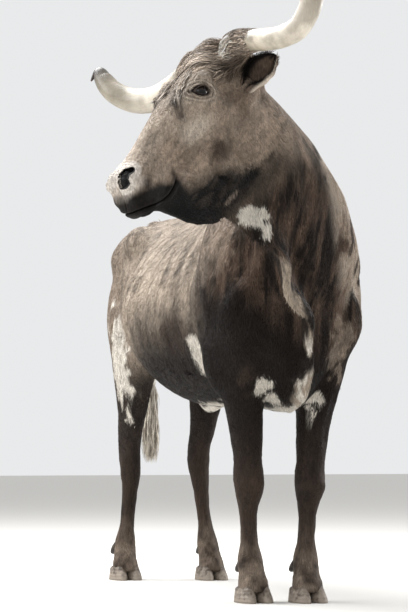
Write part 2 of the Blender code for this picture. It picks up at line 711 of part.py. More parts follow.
def eye_mesh(side, grow=0.0, segments=16, rings=10):
    """One eyeball."""
    mesh = bpy.data.meshes.new("eye")
    form = bmesh.new()
    bmesh.ops.create_uvsphere(form, u_segments=segments, v_segments=rings, radius=EYE_RADIUS + grow)
    place = HEAD @ Matrix.Translation((EYE_AT[0], EYE_AT[1], side * EYE_AT[2]))
    bmesh.ops.transform(form, matrix=place, verts=form.verts)
    bmesh.ops.triangulate(form, faces=form.faces)
    bmesh.ops.recalc_face_normals(form, faces=form.faces)
    form.to_mesh(mesh)
    form.free()
    return mesh


def lid_opening(side):
    """The almond between the lids, drawn out from inside the eyeball."""
    tilt = math.radians(EYE_TILT)
    rings = []
    for depth, scale in ((0.004, 0.80), (0.05, 1.12)):
        ring = []
        for k in range(16):
            angle = 2 * math.pi * k / 16
            u = 0.0275 * math.cos(angle) * scale
            v = math.sin(angle) * (0.0168 if math.sin(angle) > 0 else 0.0125) * scale
            v *= 1 - 0.25 * math.cos(angle) ** 2
            along = EYE_AT[0] + u * math.cos(tilt) - v * math.sin(tilt) + depth * 0.18
            up = EYE_AT[1] + u * math.sin(tilt) + v * math.cos(tilt) + depth * 0.08
            ring.append(on_head(along, up, side * (EYE_AT[2] + depth)))
        rings.append(ring)
    return loft_mesh("lid_opening", rings)


def nostril_mesh(side):
    """The pocket of one nostril: a comma that runs back and up along its wing."""
    track = [
        (0.624, -0.050, 0.052, 0.0175),
        (0.590, -0.047, 0.049, 0.0175),
        (0.566, -0.044, 0.045, 0.0150),
        (0.545, -0.046, 0.040, 0.0105),
        (0.526, -0.050, 0.034, 0.0050),
    ]
    if side < 0:
        track = [(x - 0.010, y, z + 0.010, r) for x, y, z, r in track]
    rings = []
    for x, y, z, r in smooth_track(track, 8):
        ring = []
        for k in range(12):
            angle = 2 * math.pi * k / 12
            u, v = math.cos(angle) * r * 0.82, math.sin(angle) * r * 1.35
            ring.append(on_head(x, y + v, side * (z + u + v * 0.35)))
        rings.append(ring)
    return loft_mesh("nostril", rings)


def mouth_mesh():
    """A thin wedge that opens the line of the mouth all round the muzzle."""
    line = [
        (0.442, -0.152, 0.076),
        (0.473, -0.165, 0.078),
        (0.507, -0.169, 0.080),
        (0.545, -0.157, 0.086),
        (0.578, -0.141, 0.080),
        (0.608, -0.129, 0.052),
        (0.621, -0.125, 0.0),
    ]
    half = [(x, y, z) for x, y, z in line]
    full = half + [(x, y, -z) for x, y, z in half[-2::-1]]
    rings = []
    rows = smooth_track([(*p, 0.0) for p in full], 29)
    for x, y, z, _ in rows:
        inner = Vector((0.47 + (x - 0.47) * 0.82, y + 0.001, z * 0.44))
        outer = Vector((x, y, z)) * 1.0
        thick = 0.0042
        ring = [outer + Vector((0, thick, 0)), outer - Vector((0, thick, 0)), inner]
        rings.append([HEAD @ p for p in ring])
    return loft_mesh("mouth", rings)


def foot_centre(side, fore):
    """Where the column of a foot stands on the floor."""
    if fore:
        return side * FORE_HOOF_SIDE + FORE_LEAN, -side * FORE_HOOF_STEP - 0.024
    return side * HIND_HOOF_SIDE, STANCE - side * HIND_HOOF_STEP - 0.016


def coronet_height(y, middle):
    """Height of the hoof's upper edge, sloping from toe to heel."""
    share = (y - middle + 0.052) / 0.104
    return TOE_HEIGHT + (HEEL_HEIGHT - TOE_HEIGHT) * share


def claw_mesh(side, fore, inner):
    """One claw of a cloven hoof, flat below, its top on the coronet's slope."""
    x, middle = foot_centre(side, fore)
    way = -side if inner else side
    rings = []
    for share, scale, slide in ((0.0, 1.0, 0.0), (0.10, 1.02, 0.001), (0.55, 0.93, 0.012), (1.0, 0.84, 0.022)):
        ring = []
        for k in range(16):
            angle = 2 * math.pi * k / 16
            c, s = math.cos(angle), math.sin(angle)
            along = -c * CLAW_LENGTH * 0.5 * (1 - 0.32 * share)
            width = CLAW_HALF_WIDTH * scale * (1 - 0.30 * c * abs(c))
            outward = s * way
            across = math.copysign(abs(s) ** 0.8, s) * way * width * (1.0 if outward > 0 else 0.93)
            flat = max(across * way, -CLAW_HALF_WIDTH * 0.90) * way
            yy = middle - 0.006 + along + slide
            xx = x + way * (CLAW_HALF_WIDTH + 0.0006) + flat - way * 0.004 * share - way * c * 0.002
            top = coronet_height(yy, middle) - GAP
            ring.append(Vector((xx, yy, top * share)))
        rings.append(ring)
    return loft_mesh("claw", rings)


def dewclaw_mesh(side, fore, inner, grow=0.0):
    """One small claw behind the fetlock."""
    x, middle = foot_centre(side, fore)
    way = -side if inner else side
    root = Vector((x + way * 0.023, middle + 0.030, 0.132))
    tip = Vector((x + way * 0.028, middle + 0.076, 0.094))
    rings = []
    for share, radius in ((0.0, 0.014), (0.5, 0.0155), (1.0, 0.007)):
        centre = root.lerp(tip, share) + (tip - root).normalized() * grow * (2 * share - 1)
        up = Vector((0, 0.55, 0.84))
        rings.append([centre + (Vector((1, 0, 0)) * math.cos(a) + up * 0.72 * math.sin(a)) * (radius + grow)
                      for a in (2 * math.pi * k / 8 for k in range(8))])
    return loft_mesh("dewclaw", rings)


TAIL = [
    (0.0, 1.205, 1.300, 0.036),
    (0.0, 1.290, 1.316, 0.037),
    (0.002, 1.350, 1.296, 0.033),
    (0.004, 1.396, 1.225, 0.028),
    (0.010, 1.420, 1.060, 0.022),
    (0.018, 1.424, 0.880, 0.018),
    (0.022, 1.420, 0.742, 0.016),
]


def tube_mesh(name, keys, count, sides, grow=0.0):
    """A round form along keys of x, y, z and radius, level at its last ring."""
    rows = smooth_track(keys, count)
    rings = []
    for i, row in enumerate(rows):
        along = Vector(rows[min(i + 1, count - 1)][:3]) - Vector(rows[max(i - 1, 0)][:3])
        if i == count - 1:
            along = Vector((0, 0, -1))
        across = Vector((1, 0, 0))
        up = across.cross(along).normalized()
        centre, radius = Vector(row[:3]), row[3] + grow
        if i == 0:
            centre -= along.normalized() * grow
        rings.append(oval(centre + up * radius, centre - up * radius, across, radius, sides=sides))
    return loft_mesh(name, rings)


def lock_mesh(track, width, thick, face, rings=6):
    """A flat tapered lock along a track of points, widest a third of the way down."""
    rows = smooth_track([(*p, 0.0) for p in track], rings)
    made = []
    for i, row in enumerate(rows):
        share = i / (rings - 1)
        along = Vector(rows[min(i + 1, rings - 1)][:3]) - Vector(rows[max(i - 1, 0)][:3])
        across = along.cross(face).normalized()
        up = across.cross(along).normalized()
        taper = (0.62 + 1.15 * share) if share < 0.33 else max(0.05, (1 - share) / 0.67) ** 0.75
        centre = Vector(row[:3])
        half, deep = width * taper, thick * (0.35 + 0.65 * taper)
        made.append([centre + across * half * u + up * deep * v
                     for u, v in ((1, 0), (0.1, 1), (-1, 0), (-0.1, -1))])
    return loft_mesh("lock", made)


def fuse(base, meshes, name):
    """Joins closed meshes to a base with one Boolean union, the base kept as one surface."""
    pieces = new_collection(name)
    for mesh in meshes:
        add_object("joined", mesh, pieces)
    step = base.modifiers.new("union", "BOOLEAN")
    step.operation = "UNION"
    step.operand_type = "COLLECTION"
    step.collection = pieces
    step.solver = "MANIFOLD"
    apply_modifiers(base)
    remove_all(list(pieces.objects))
    bpy.data.collections.remove(pieces)
    keep_largest(base)


def switch_node(nodes):
    """The tail's switch: a core that carries long flat locks hanging and crossing down to their tips."""
    top = Vector(TAIL[-1][:3]) - Vector((0, 0, GAP))
    core = [(*top, 0.016), (top.x, top.y, 0.70, 0.023), (top.x + 0.002, top.y, 0.62, 0.021), (top.x + 0.004, top.y, 0.52, 0.008)]
    base = add_object("tail_switch", tube_mesh("tail_switch", core, 8, 10), nodes)
    locks = []
    for k in range(10):
        angle = k * 2.399
        out = Vector((math.cos(angle), math.sin(angle), 0))
        start = 0.725 - 0.010 * (k % 4)
        length = 0.20 + 0.085 * random.random()
        swing = random.uniform(-0.012, 0.012)
        low = start - length
        bulge = 0.030 + 0.010 * random.random()
        track = [
            top * Vector((1, 1, 0)) + out * 0.006 + Vector((0, 0, start)),
            top * Vector((1, 1, 0)) + out * bulge * 0.72 + Vector((0, 0, start - length * 0.2)),
            top * Vector((1, 1, 0)) + out * bulge + Vector((swing, 0, start - length * 0.5)),
            top * Vector((1, 1, 0)) + out * bulge * 0.66 + Vector((swing * 2.2, swing, start - length * 0.8)),
            top * Vector((1, 1, 0)) + out * bulge * 0.25 + Vector((swing * 2.0, swing * 1.5, low)),
        ]
        track = [Vector(a[:]) for a in track]
        locks.append(lock_mesh(track, 0.012, 0.0045, out, 5))
    fuse(base, locks, "switch_locks")
    return base


def poll_locks():
    """Curly flat locks of the poll, thrown over the forehead from its left to its right."""
    locks = []
    for k in range(12):
        row, place = k // 4, k % 4
        across = 0.070 - 0.040 * place - 0.012 * row + random.uniform(-0.005, 0.005)
        back = -0.006 + 0.026 * row + random.uniform(-0.004, 0.004)
        reach = 0.050 + 0.018 * random.random()
        sweep = -0.046 - 0.016 * random.random()
        top = 0.006 - 1.6 * across * across
        lift = 0.011 + 0.004 * random.random()
        track = [
            on_head(back, top - 0.014, across),
            on_head(back + reach * 0.22, top + lift * 0.9, across + sweep * 0.10),
            on_head(back + reach * 0.55, top + lift, across + sweep * 0.32),
            on_head(back + reach * 0.88, top + lift * 0.7, across + sweep * 0.66),
            on_head(back + reach, top + lift * 0.15, across + sweep),
        ]
        locks.append(lock_mesh(track, 0.0170, 0.0052, HEAD_TURNED @ Vector((0, 1, 0)), 5))
    return locks


def head_block(tools, grow=0.0):
    """The region that is the head: in front of the throat and above the dewlap."""
    profile = [(-0.082, 0.16), (0.118, -0.430), (0.66, -0.272), (0.70, 0.16)]
    corners = [on_head(x, y, z) for x, y in profile for z in (-0.24, 0.24)]
    return wedge("head_block", corners, tools, grow)


def neck_block(tools, grow=0.0):
    """The region that is the neck: ahead of the shoulders and above the chest."""
    profile = [(0.290, 1.515), (-0.480, 0.512), (-1.0, 0.512), (-1.0, 2.2), (0.290, 2.2)]
    return prism("neck_block", profile, "x", -0.9, 0.6, tools, grow)


def foreleg_block(side, tools, grow=0.0, low=None):
    """The region that is one foreleg below the shoulder."""
    low = KNEE if low is None else low
    inner = [(0.004, low), (0.004, 0.42), (0.074, 0.625), (0.135, 0.80), (0.45, 0.83), (0.45, low)]
    profile = [(side * u, v) for u, v in inner]
    return prism("foreleg_block", profile, "y", -0.30, 0.225, tools, grow)


def hindleg_block(side, tools, grow=0.0, low=None):
    """The region that is one hind leg below the flank."""
    low = HOCK if low is None else low
    corners = []
    for y, top in ((0.88, 0.80), (1.50, 0.98)):
        corners += [(side * 0.004, y, low), (side * 0.45, y, low), (side * 0.45, y, top), (side * 0.004, y, top - 0.03)]
    return wedge("hindleg_block", corners, tools, grow)


def lower_leg_block(side, fore, tools):
    """The region from the knee or hock down to the hoof's upper edge."""
    x, middle = foot_centre(side, fore)
    top = (KNEE if fore else HOCK) - GAP
    near, far = middle - 0.20, middle + 0.26
    corners = []
    for y in (near, far):
        corners += [(side * 0.004, y, coronet_height(y, middle)), (side * 0.40, y, coronet_height(y, middle))]
        corners += [(side * 0.004, y, top), (side * 0.40, y, top)]
    return wedge("lower_leg_block", corners, tools)


def paint(name, tint, rough, metal=0.0):
    """A plain principled material."""
    made = bpy.data.materials.new(name)
    made.use_nodes = True
    shader = made.node_tree.nodes["Principled BSDF"]
    shader.inputs["Base Color"].default_value = (*tint, 1.0)
    shader.inputs["Roughness"].default_value = rough
    shader.inputs["Metallic"].default_value = metal
    return made


HIDE = (0.075, 0.050, 0.036)
TINTS = {
    "eye": ((0.012, 0.008, 0.006), 0.08),
    "horn": ((0.70, 0.64, 0.52), 0.42),
    "claw": ((0.17, 0.14, 0.115), 0.62),
    "dewclaw": ((0.10, 0.085, 0.07), 0.62),
    "tail_switch": ((0.62, 0.58, 0.51), 0.75),
    "ear": ((0.09, 0.062, 0.047), 0.8),
}


def dress(node):
    """Gives the node a material of its own."""
    key = next((k for k in TINTS if node.name.startswith(k)), None)
    tint, rough = TINTS[key] if key else (HIDE, 0.8)
    node.data.materials.clear()
    node.data.materials.append(paint(node.name + "_surface", tint, rough))


def soft_zones(flesh):
    """How strongly each point is smoothed: the trunk fully, the head a little, feet and dewlap hardly."""
    points = mesh_points(flesh)
    x, y, z = points.T
    share = np.clip((z - 0.56) / 0.18, 0.04, 1.0)
    share *= np.where((abs(x) < 0.035) & (y < -0.02) & (z < 1.0), 0.12, 1.0)
    edge = np.array(DEWLAP_EDGE)
    gap = np.full(len(points), 1e9)
    for a, b in zip(edge, edge[1:]):
        t = np.clip((points - a) @ (b - a) / ((b - a) @ (b - a)), 0, 1)
        gap = np.minimum(gap, np.linalg.norm(points - a - t[:, None] * (b - a), axis=1))
    share *= np.clip((gap - 0.05) / 0.07, 0.08, 1.0)
    local = (points - np.array(POLL)) @ np.array(HEAD_TURNED)
    head = np.clip((local[:, 0] + 0.05) / 0.10, 0, 1) * np.clip((local[:, 1] + 0.44) / 0.06, 0, 1)
    head *= (local[:, 0] < 0.66) & (local[:, 1] < 0.15)
    front = np.clip((local[:, 0] - 0.38) / 0.10, 0, 1)
    return share * (1 - head) + head * (0.22 - 0.17 * front)


def head_zone(centres):
    """True for faces that belong to the head."""
    local = (centres - np.array(POLL)) @ np.array(HEAD_TURNED)
    x, y = local[:, 0], local[:, 1]
    return (x > -0.06) & (x < 0.66) & (y > -0.38) & (y < 0.15)


def main():
    """Builds the animal and returns how far it was moved to its origin."""
    clear_scene()
    flesh_forms = new_collection("flesh_forms")
    torso_forms(flesh_forms)
    neck_forms(flesh_forms)
    head_forms(flesh_forms)
    for side in (-1, 1):
        foreleg_form(side, flesh_forms)
        hindleg_form(side, flesh_forms)
    flesh = joined_flesh(flesh_forms, "flesh")
    relax(flesh, 8)
    relax(flesh, 70, soft_zones(flesh))
    sculpt_body(flesh)
    relax(flesh, 3)
    legs = lambda c: (c[:, 2] < 0.58) & ~head_zone(c)
    rest = lambda c: (c[:, 2] >= 0.58) & ~head_zone(c)
    thin_out(flesh, [(head_zone, HEAD_TRIANGLES), (rest, BODY_TRIANGLES), (legs, LEG_TRIANGLES)])
    tools = new_collection("cutters")
    nodes = new_collection("texas_longhorn")
    sides = {-1: "right", 1: "left"}

    head = piece_of(flesh, "head", nodes, [head_block(tools)])
    orbits = [eye_mesh(side, 0.0045, 14, 9) for side in sides]
    fuse(head, orbits + poll_locks(), "head_additions")
    boolean(head, head_block(tools), "INTERSECT")
    sockets = []
    for side, word in sides.items():
        sockets += [cut_tool("root_socket", made, tools) for made in (horn_mesh(side, GAP), ear_socket(side))]
        for cutter in (eye_mesh(side, GAP), lid_opening(side), nostril_mesh(side)):
            boolean(head, cut_tool("head_cutter", cutter, tools), "DIFFERENCE")
        add_object("eye_" + word, eye_mesh(side), nodes)
        add_object("horn_" + word, horn_mesh(side), nodes)
        add_object("ear_" + word, ear_mesh(side), nodes)
    for cutter in [*sockets, cut_tool("mouth_cutter", mouth_mesh(), tools)]:
        boolean(head, cutter, "DIFFERENCE")
    keep_largest(head)
    tidy_mesh(head)

    piece_of(flesh, "neck", nodes, [neck_block(tools)], [head_block(tools, GAP), *sockets])
    torso_drop = [neck_block(tools, GAP), cut_tool("tail_cutter", tube_mesh("tail", TAIL, 15, 10, 1.5 * GAP), tools)]
    for side, word in sides.items():
        torso_drop += [foreleg_block(side, tools, GAP, 0.0), hindleg_block(side, tools, GAP, 0.0)]
        for fore, place in ((True, "foreleg"), (False, "hindleg")):
            block = foreleg_block if fore else hindleg_block
            piece_of(flesh, f"{place}_{word}_upper", nodes, [block(side, tools)], [neck_block(tools, GAP)] if fore else [])
            dewclaws = []
            for inner, turn in ((True, "inner"), (False, "outer")):
                dewclaws.append(cut_tool("dewclaw_cutter", dewclaw_mesh(side, fore, inner, GAP), tools))
                add_object(f"claw_{place[:4]}_{word}_{turn}", claw_mesh(side, fore, inner), nodes)
                add_object(f"dewclaw_{place[:4]}_{word}_{turn}", dewclaw_mesh(side, fore, inner), nodes)
            piece_of(flesh, f"{place}_{word}_lower", nodes, [lower_leg_block(side, fore, tools)], dewclaws)
    piece_of(flesh, "torso", nodes, [], torso_drop)
    add_object("tail", tube_mesh("tail", TAIL, 15, 10), nodes)
    switch_node(nodes)

    remove_all([flesh])
    remove_all(list(tools.objects))
    low = Vector((1e9,) * 3)
    high = -low
    for node in nodes.objects:
        tidy_mesh(node)
        dress(node)
        for vert in node.data.vertices:
            low = Vector(map(min, low, vert.co))
            high = Vector(map(max, high, vert.co))
    shift = Vector((-(low.x + high.x) / 2, -(low.y + high.y) / 2, -low.z))
    for node in nodes.objects:
        node.data.transform(Matrix.Translation(shift))
        node.data.update()
    return shift


SHIFT = main()
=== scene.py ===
"""A life-size longhorn cow: its hide, coat, horns, hooves, eyes and hair over the solids of the frame."""

import logging
import math
from collections.abc import Callable
from dataclasses import dataclass, field
from enum import Enum

import bmesh
import bpy
import numpy as np
from mathutils import Matrix, Vector
from mathutils.bvhtree import BVHTree


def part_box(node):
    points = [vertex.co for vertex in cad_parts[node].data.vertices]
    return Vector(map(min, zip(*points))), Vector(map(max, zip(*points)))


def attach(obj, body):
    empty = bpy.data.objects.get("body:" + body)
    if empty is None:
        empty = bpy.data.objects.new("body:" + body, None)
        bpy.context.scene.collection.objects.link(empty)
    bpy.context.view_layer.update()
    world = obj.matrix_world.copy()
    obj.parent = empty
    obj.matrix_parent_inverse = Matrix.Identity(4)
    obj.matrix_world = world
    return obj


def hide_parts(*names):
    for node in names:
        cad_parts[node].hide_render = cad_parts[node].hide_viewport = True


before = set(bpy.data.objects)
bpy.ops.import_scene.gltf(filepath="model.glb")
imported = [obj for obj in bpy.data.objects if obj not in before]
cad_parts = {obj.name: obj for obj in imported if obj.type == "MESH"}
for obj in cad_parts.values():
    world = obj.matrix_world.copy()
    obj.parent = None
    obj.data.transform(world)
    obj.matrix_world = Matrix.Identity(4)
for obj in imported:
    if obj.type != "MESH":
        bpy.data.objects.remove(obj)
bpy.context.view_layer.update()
LOG = logging.getLogger("longhorn")

# Short names for the kinds of thing handled most
Piece = bpy.types.Object
Finish = bpy.types.Material
Items = bpy.types.bpy_prop_collection
Rows = np.ndarray

# Sizes in metres, the same as in the part's source.
WITHERS = 1.355
BRISKET = 0.6
STANCE = 1.145
HEAD_TURN = math.radians(-70.5)
HEAD_PITCH = math.radians(48.0)
HEAD_ROLL = math.radians(4.0)
POLL = Vector((-0.393, -0.444, 1.685))
EYE_RADIUS = 0.0285
EYE_AT = (0.216, -0.034, 0.0865)
EYE_TILT = math.radians(46.0)
EAR_LENGTH = 0.146
FORE_HOOF_SIDE = 0.082
FORE_LEAN = -0.011
FORE_HOOF_STEP = 0.026
HIND_HOOF_SIDE = 0.15
HIND_HOOF_STEP = 0.054
CLAW_LENGTH = 0.118
CLAW_HALF_WIDTH = 0.029
TOE_HEIGHT = 0.074
HEEL_HEIGHT = 0.04
HORN_RINGS = 150
BOSS_RINGS = 28  # of a horn's, hidden under the hair of its boss
FAR = 9.0  # metres, past all of the animal, so that a point is ruled out
LID_SLANT = (0.18, 0.08)  # how the opening of the lids drifts along and up the face, per metre outward
GOLDEN_TURN = 2.399963  # radians, so that neighbours never line up
RNG = np.random.default_rng(29)


class Side(Enum):
    """The two sides of the animal, by the sign of x in the body and of z in the head."""

    RIGHT = -1
    LEFT = 1

    @property
    def word(self) -> str:
        """The side's name in the solids."""
        return self.name.lower()


class Zone(Enum):
    """The stretches of coat, each made as its own piece or pieces."""

    HEAD = "head"
    NECK = "neck"
    TRUNK = "trunk"
    LEGS = "legs"


# Helpers


def head_matrix() -> Matrix:
    """Gives the move from the head's frame of (along the face, up, left) to the animal's.

    Returns:
        The 4x4 matrix, in the frame before it is moved onto the solids.
    """
    turn = Matrix.Rotation(HEAD_TURN, 4, "Z")
    pitch = Matrix.Rotation(HEAD_PITCH, 4, "X")
    roll = Matrix.Rotation(-HEAD_ROLL, 4, "Y")
    axes = Matrix(((0, 0, 1, 0), (-1, 0, 0, 0), (0, 1, 0, 0), (0, 0, 0, 1)))
    return Matrix.Translation(POLL) @ turn @ pitch @ roll @ axes


HEAD = head_matrix()
HEAD_AXES = np.array(HEAD.to_3x3())
HEAD_ORIGIN = np.array(POLL)


def find_shift() -> Vector:
    """Finds how far the solids were moved to their origin, from the place of the left eye.

    Returns:
        The move from the sizes above to the frame.
    """
    low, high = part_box("eye_left")
    return (low + high) / 2 - HEAD @ Vector(EYE_AT)


SHIFT = find_shift()
SHIFT_ROW = np.array(SHIFT)


def on_head(along: float, up: float, left: float = 0.0) -> Vector:
    """Gives a point of the head in the animal's frame, before the shift."""
    return HEAD @ Vector((along, up, left))


def level_head(left: float, ahead: float, up: float) -> Vector:
    """Gives a point named from the poll, with the head's turn but not its pitch."""
    return POLL + Matrix.Rotation(HEAD_TURN, 3, "Z") @ Vector((left, -ahead, up))


def to_head(points: Rows) -> Rows:
    """Gives points of the animal in the head's frame."""
    return (points - HEAD_ORIGIN) @ HEAD_AXES


def from_head(points: Rows) -> Rows:
    """Gives points of the head's frame in the animal's."""
    return points @ HEAD_AXES.T + HEAD_ORIGIN


def smooth_track(keys: list, count: int) -> Rows:
    """Lays rows on a smooth curve through rows of numbers, evenly along the first three.

    Args:
        keys: The rows to pass through.
        count: How many rows to give.

    Returns:
        An array of count rows.
    """
    table = np.array(keys, float)
    at = np.concatenate([[0.0], np.cumsum(np.linalg.norm(np.diff(table[:, :3], axis=0), axis=1))])
    slopes = np.gradient(table, at, axis=0)
    t = np.linspace(0.0, at[-1], count)
    i = np.clip(np.searchsorted(at, t, side="right") - 1, 0, len(table) - 2)
    span = (at[i + 1] - at[i])[:, None]
    u = (t - at[i])[:, None] / span
    low = (1 + 2 * u) * (1 - u) ** 2 * table[i] + u * (1 - u) ** 2 * span * slopes[i]
    return low + u * u * (3 - 2 * u) * table[i + 1] + u * u * (u - 1) * span * slopes[i + 1]


def fade(value: Rows, low: float, high: float) -> Rows:
    """Gives a soft step from 0 at low to 1 at high."""
    share = np.clip((value - low) / (high - low), 0.0, 1.0)
    return share * share * (3 - 2 * share)


def ridge(value: Rows, width: float, at: float = 0.0) -> Rows:
    """Gives 1 where a value is at its crest, falling away on both sides."""
    return np.exp(-((value - at) / width) ** 2)


def mixed(rows: Rows, others: Rows, share: Rows) -> Rows:
    """Moves rows towards others, each by its own share."""
    share = share[:, None]
    return rows * (1 - share) + others * share


def one_side(places: Rows, axis: int) -> Rows:
    """Folds places over onto the side where one coordinate is positive."""
    made = places.copy()
    made[:, axis] = abs(made[:, axis])
    return made


def noise(points: Rows, size: float, seed: int = 0) -> Rows:
    """Gives smooth random values between -1 and 1 at points.

    Args:
        points: Positions in metres.
        size: How far apart the values change.
        seed: Which pattern.

    Returns:
        One value a point.
    """
    spots = points / size + 31.7 * seed
    cell = np.floor(spots).astype(np.int64)
    part = spots - cell
    part = part * part * (3 - 2 * part)
    total = np.zeros(len(points))
    for corner in range(8):
        step = np.array([(corner >> k) & 1 for k in range(3)])
        key = cell + step
        mixed = (key[:, 0] * 73856093) ^ (key[:, 1] * 19349663) ^ (key[:, 2] * 83492791) ^ (seed * 2654435761)
        mixed = (mixed ^ (mixed >> 13)) * 1274126177 & 0xFFFFFFFF
        value = (mixed & 0xFFFF) / 32767.5 - 1.0
        weight = np.prod(np.where(step, part, 1 - part), axis=1)
        total += value * weight
    return total


def deselect() -> None:
    """Leaves nothing selected and no object active."""
    if bpy.context.object and bpy.context.object.mode != "OBJECT":
        bpy.ops.object.mode_set(mode="OBJECT")
    bpy.ops.object.select_all(action="DESELECT")


def add_object(name: str, mesh: bpy.types.Mesh) -> Piece:
    """Puts a mesh in the scene as an object of its own.

    Args:
        name: Its name.
        mesh: Its mesh.

    Returns:
        The object.
    """
    obj = bpy.data.objects.new(name, mesh)
    bpy.context.scene.collection.objects.link(obj)
    return obj


def use(obj: Piece) -> None:
    """Selects one object alone and makes it active.

    Args:
        obj: The object.
    """
    deselect()
    obj.select_set(True)
    bpy.context.view_layer.objects.active = obj


def apply_all(obj: Piece) -> None:
    """Applies every modifier of an object."""
    use(obj)
    for step in list(obj.modifiers):
        bpy.ops.object.modifier_apply(modifier=step.name)


def read_rows(items: Items, key: str) -> Rows:
    """Reads three numbers of every item.

    Args:
        items: The mesh's vertices, normals or faces.
        key: Which three numbers.

    Returns:
        One row an item.
    """
    flat = np.empty(len(items) * 3, np.float32)
    items.foreach_get(key, flat)
    return flat.reshape(-1, 3).astype(float)


def points_of(obj: Piece) -> Rows:
    """Gives the object's vertex positions."""
    return read_rows(obj.data.vertices, "co")


def normals_of(obj: Piece) -> Rows:
    """Gives the object's vertex normals."""
    return read_rows(obj.data.vertex_normals, "vector")


def set_points(obj: Piece, points: Rows) -> None:
    """Writes vertex positions back."""
    obj.data.vertices.foreach_set("co", points.astype(np.float32).ravel())
    obj.data.update()


def relax(obj: Piece, rounds: int, weight: Rows | None = None) -> None:
    """Evens a surface out by moving each vertex halfway to the mean of its neighbours.

    Args:
        obj: The object to smooth.
        rounds: How often.
        weight: A share for each vertex, or none for all alike.
    """
    points = points_of(obj)
    edges = np.empty(len(obj.data.edges) * 2, np.int64)
    obj.data.edges.foreach_get("vertices", edges)
    a, b = edges.reshape(-1, 2).T
    count = np.maximum(np.bincount(edges, minlength=len(points)), 1)[:, None]
    share = 0.5 if weight is None else 0.5 * weight[:, None]
    total = np.empty_like(points)
    for _ in range(rounds):
        for axis in range(3):
            total[:, axis] = np.bincount(a, points[b, axis], len(points))
            total[:, axis] += np.bincount(b, points[a, axis], len(points))
        points = points + (total / count - points) * share
    set_points(obj, points)


def loft(name: str, rings: list) -> bpy.types.Mesh:
    """Skins rings of equal count, with a fan on each end.

    Args:
        name: The mesh's name.
        rings: Lists of points, or an array of them.

    Returns:
        The mesh, facing out.
    """
    table = np.array([[tuple(p) for p in ring] for ring in rings], float)
    count, sides, _ = table.shape
    verts = table.reshape(-1, 3)
    i, k = np.meshgrid(np.arange(count - 1), np.arange(sides), indexing="ij")
    n = (k + 1) % sides
    quads = np.stack([i * sides + k, i * sides + n, (i + 1) * sides + n, (i + 1) * sides + k],
                     -1).reshape(-1, 4)
    faces = [tuple(q) for q in quads.tolist()]
    verts = np.vstack([verts, table[0].mean(0), table[-1].mean(0)])
    first, last, base = len(verts) - 2, len(verts) - 1, (count - 1) * sides
    for s in range(sides):
        faces += [(first, (s + 1) % sides, s), (last, base + s, base + (s + 1) % sides)]
    mesh = bpy.data.meshes.new(name)
    mesh.from_pydata(verts.tolist(), [], faces)
    form = bmesh.new()
    form.from_mesh(mesh)
    bmesh.ops.recalc_face_normals(form, faces=form.faces)
    form.to_mesh(mesh)
    form.free()
    return mesh


def oval(top: Vector, bottom: Vector, side: Vector, half_width: float, belt: float = 0.5,
         pinch_top: float = 0.0, pinch_bottom: float = 0.0, square: float = 2.0, sides: int = 48) -> list:
    """Draws a closed oval between a top and a bottom point.

    Args:
        top: The highest point.
        bottom: The lowest point.
        side: The direction across.
        half_width: Half the width at the belt.
        belt: The share of the height at which it is widest.
        pinch_top: How much its upper shoulders narrow.
        pinch_bottom: How much its lower shoulders narrow.
        square: Above 2 fills its corners.
        sides: How many points.

    Returns:
        The points of the ring.
    """
    waist = bottom.lerp(top, belt)
    ring = []
    for k in range(sides):
        c, s = math.cos(2 * math.pi * k / sides), math.sin(2 * math.pi * k / sides)
        rise = math.copysign(abs(s) ** (2 / square), s)
        across = math.copysign(abs(c) ** (2 / square), c) * half_width
        across *= 1 - (pinch_top if rise > 0 else pinch_bottom) * rise * rise
        end = top if rise > 0 else bottom
        ring.append(waist + (end - waist) * abs(rise) + side * across)
    return ring


def ring_axes(rows: Rows, i: int) -> tuple[Vector, Vector]:
    """Gives the ways across and up for one ring of a horn.

    Args:
        rows: The horn's rows.
        i: Which ring.

    Returns:
        Two unit vectors.
    """
    along = Vector(rows[min(i + 1, len(rows) - 1)][:3]) - Vector(rows[max(i - 1, 0)][:3])
    across = along.cross(Vector((0.25, -0.15, 1.0))).normalized()
    return across, across.cross(along).normalized()


def polyline_distance(points: Rows, line: Rows) -> tuple[Rows, Rows]:
    """Measures points against a line of straight stretches.

    Args:
        points: Positions.
        line: The corners of the line.

    Returns:
        The distance of each point, and how far along the line its nearest place is, from 0 to 1.
    """
    best = np.full(len(points), 1e9)
    place = np.zeros(len(points))
    for i in range(len(line) - 1):
        a, b = line[i], line[i + 1]
        t = np.clip(((points - a) @ (b - a)) / ((b - a) @ (b - a)), 0, 1)
        gap = np.linalg.norm(points - (a + t[:, None] * (b - a)), axis=1)
        near = gap < best
        best = np.where(near, gap, best)
        place = np.where(near, (i + t) / (len(line) - 1), place)
    return best, place


def linear(code: str) -> tuple[float, float, float, float]:
    """Turns an sRGB hex value to a linear colour."""
    parts = [int(code[i:i + 2], 16) / 255 for i in (1, 3, 5)]
    return (*(p / 12.92 if p <= 0.04045 else ((p + 0.055) / 1.055) ** 2.4 for p in parts), 1.0)


def linear_row(code: str) -> Rows:
    """Turns an sRGB hex value to a linear colour of three numbers."""
    return np.array(linear(code)[:3])


# Finishes


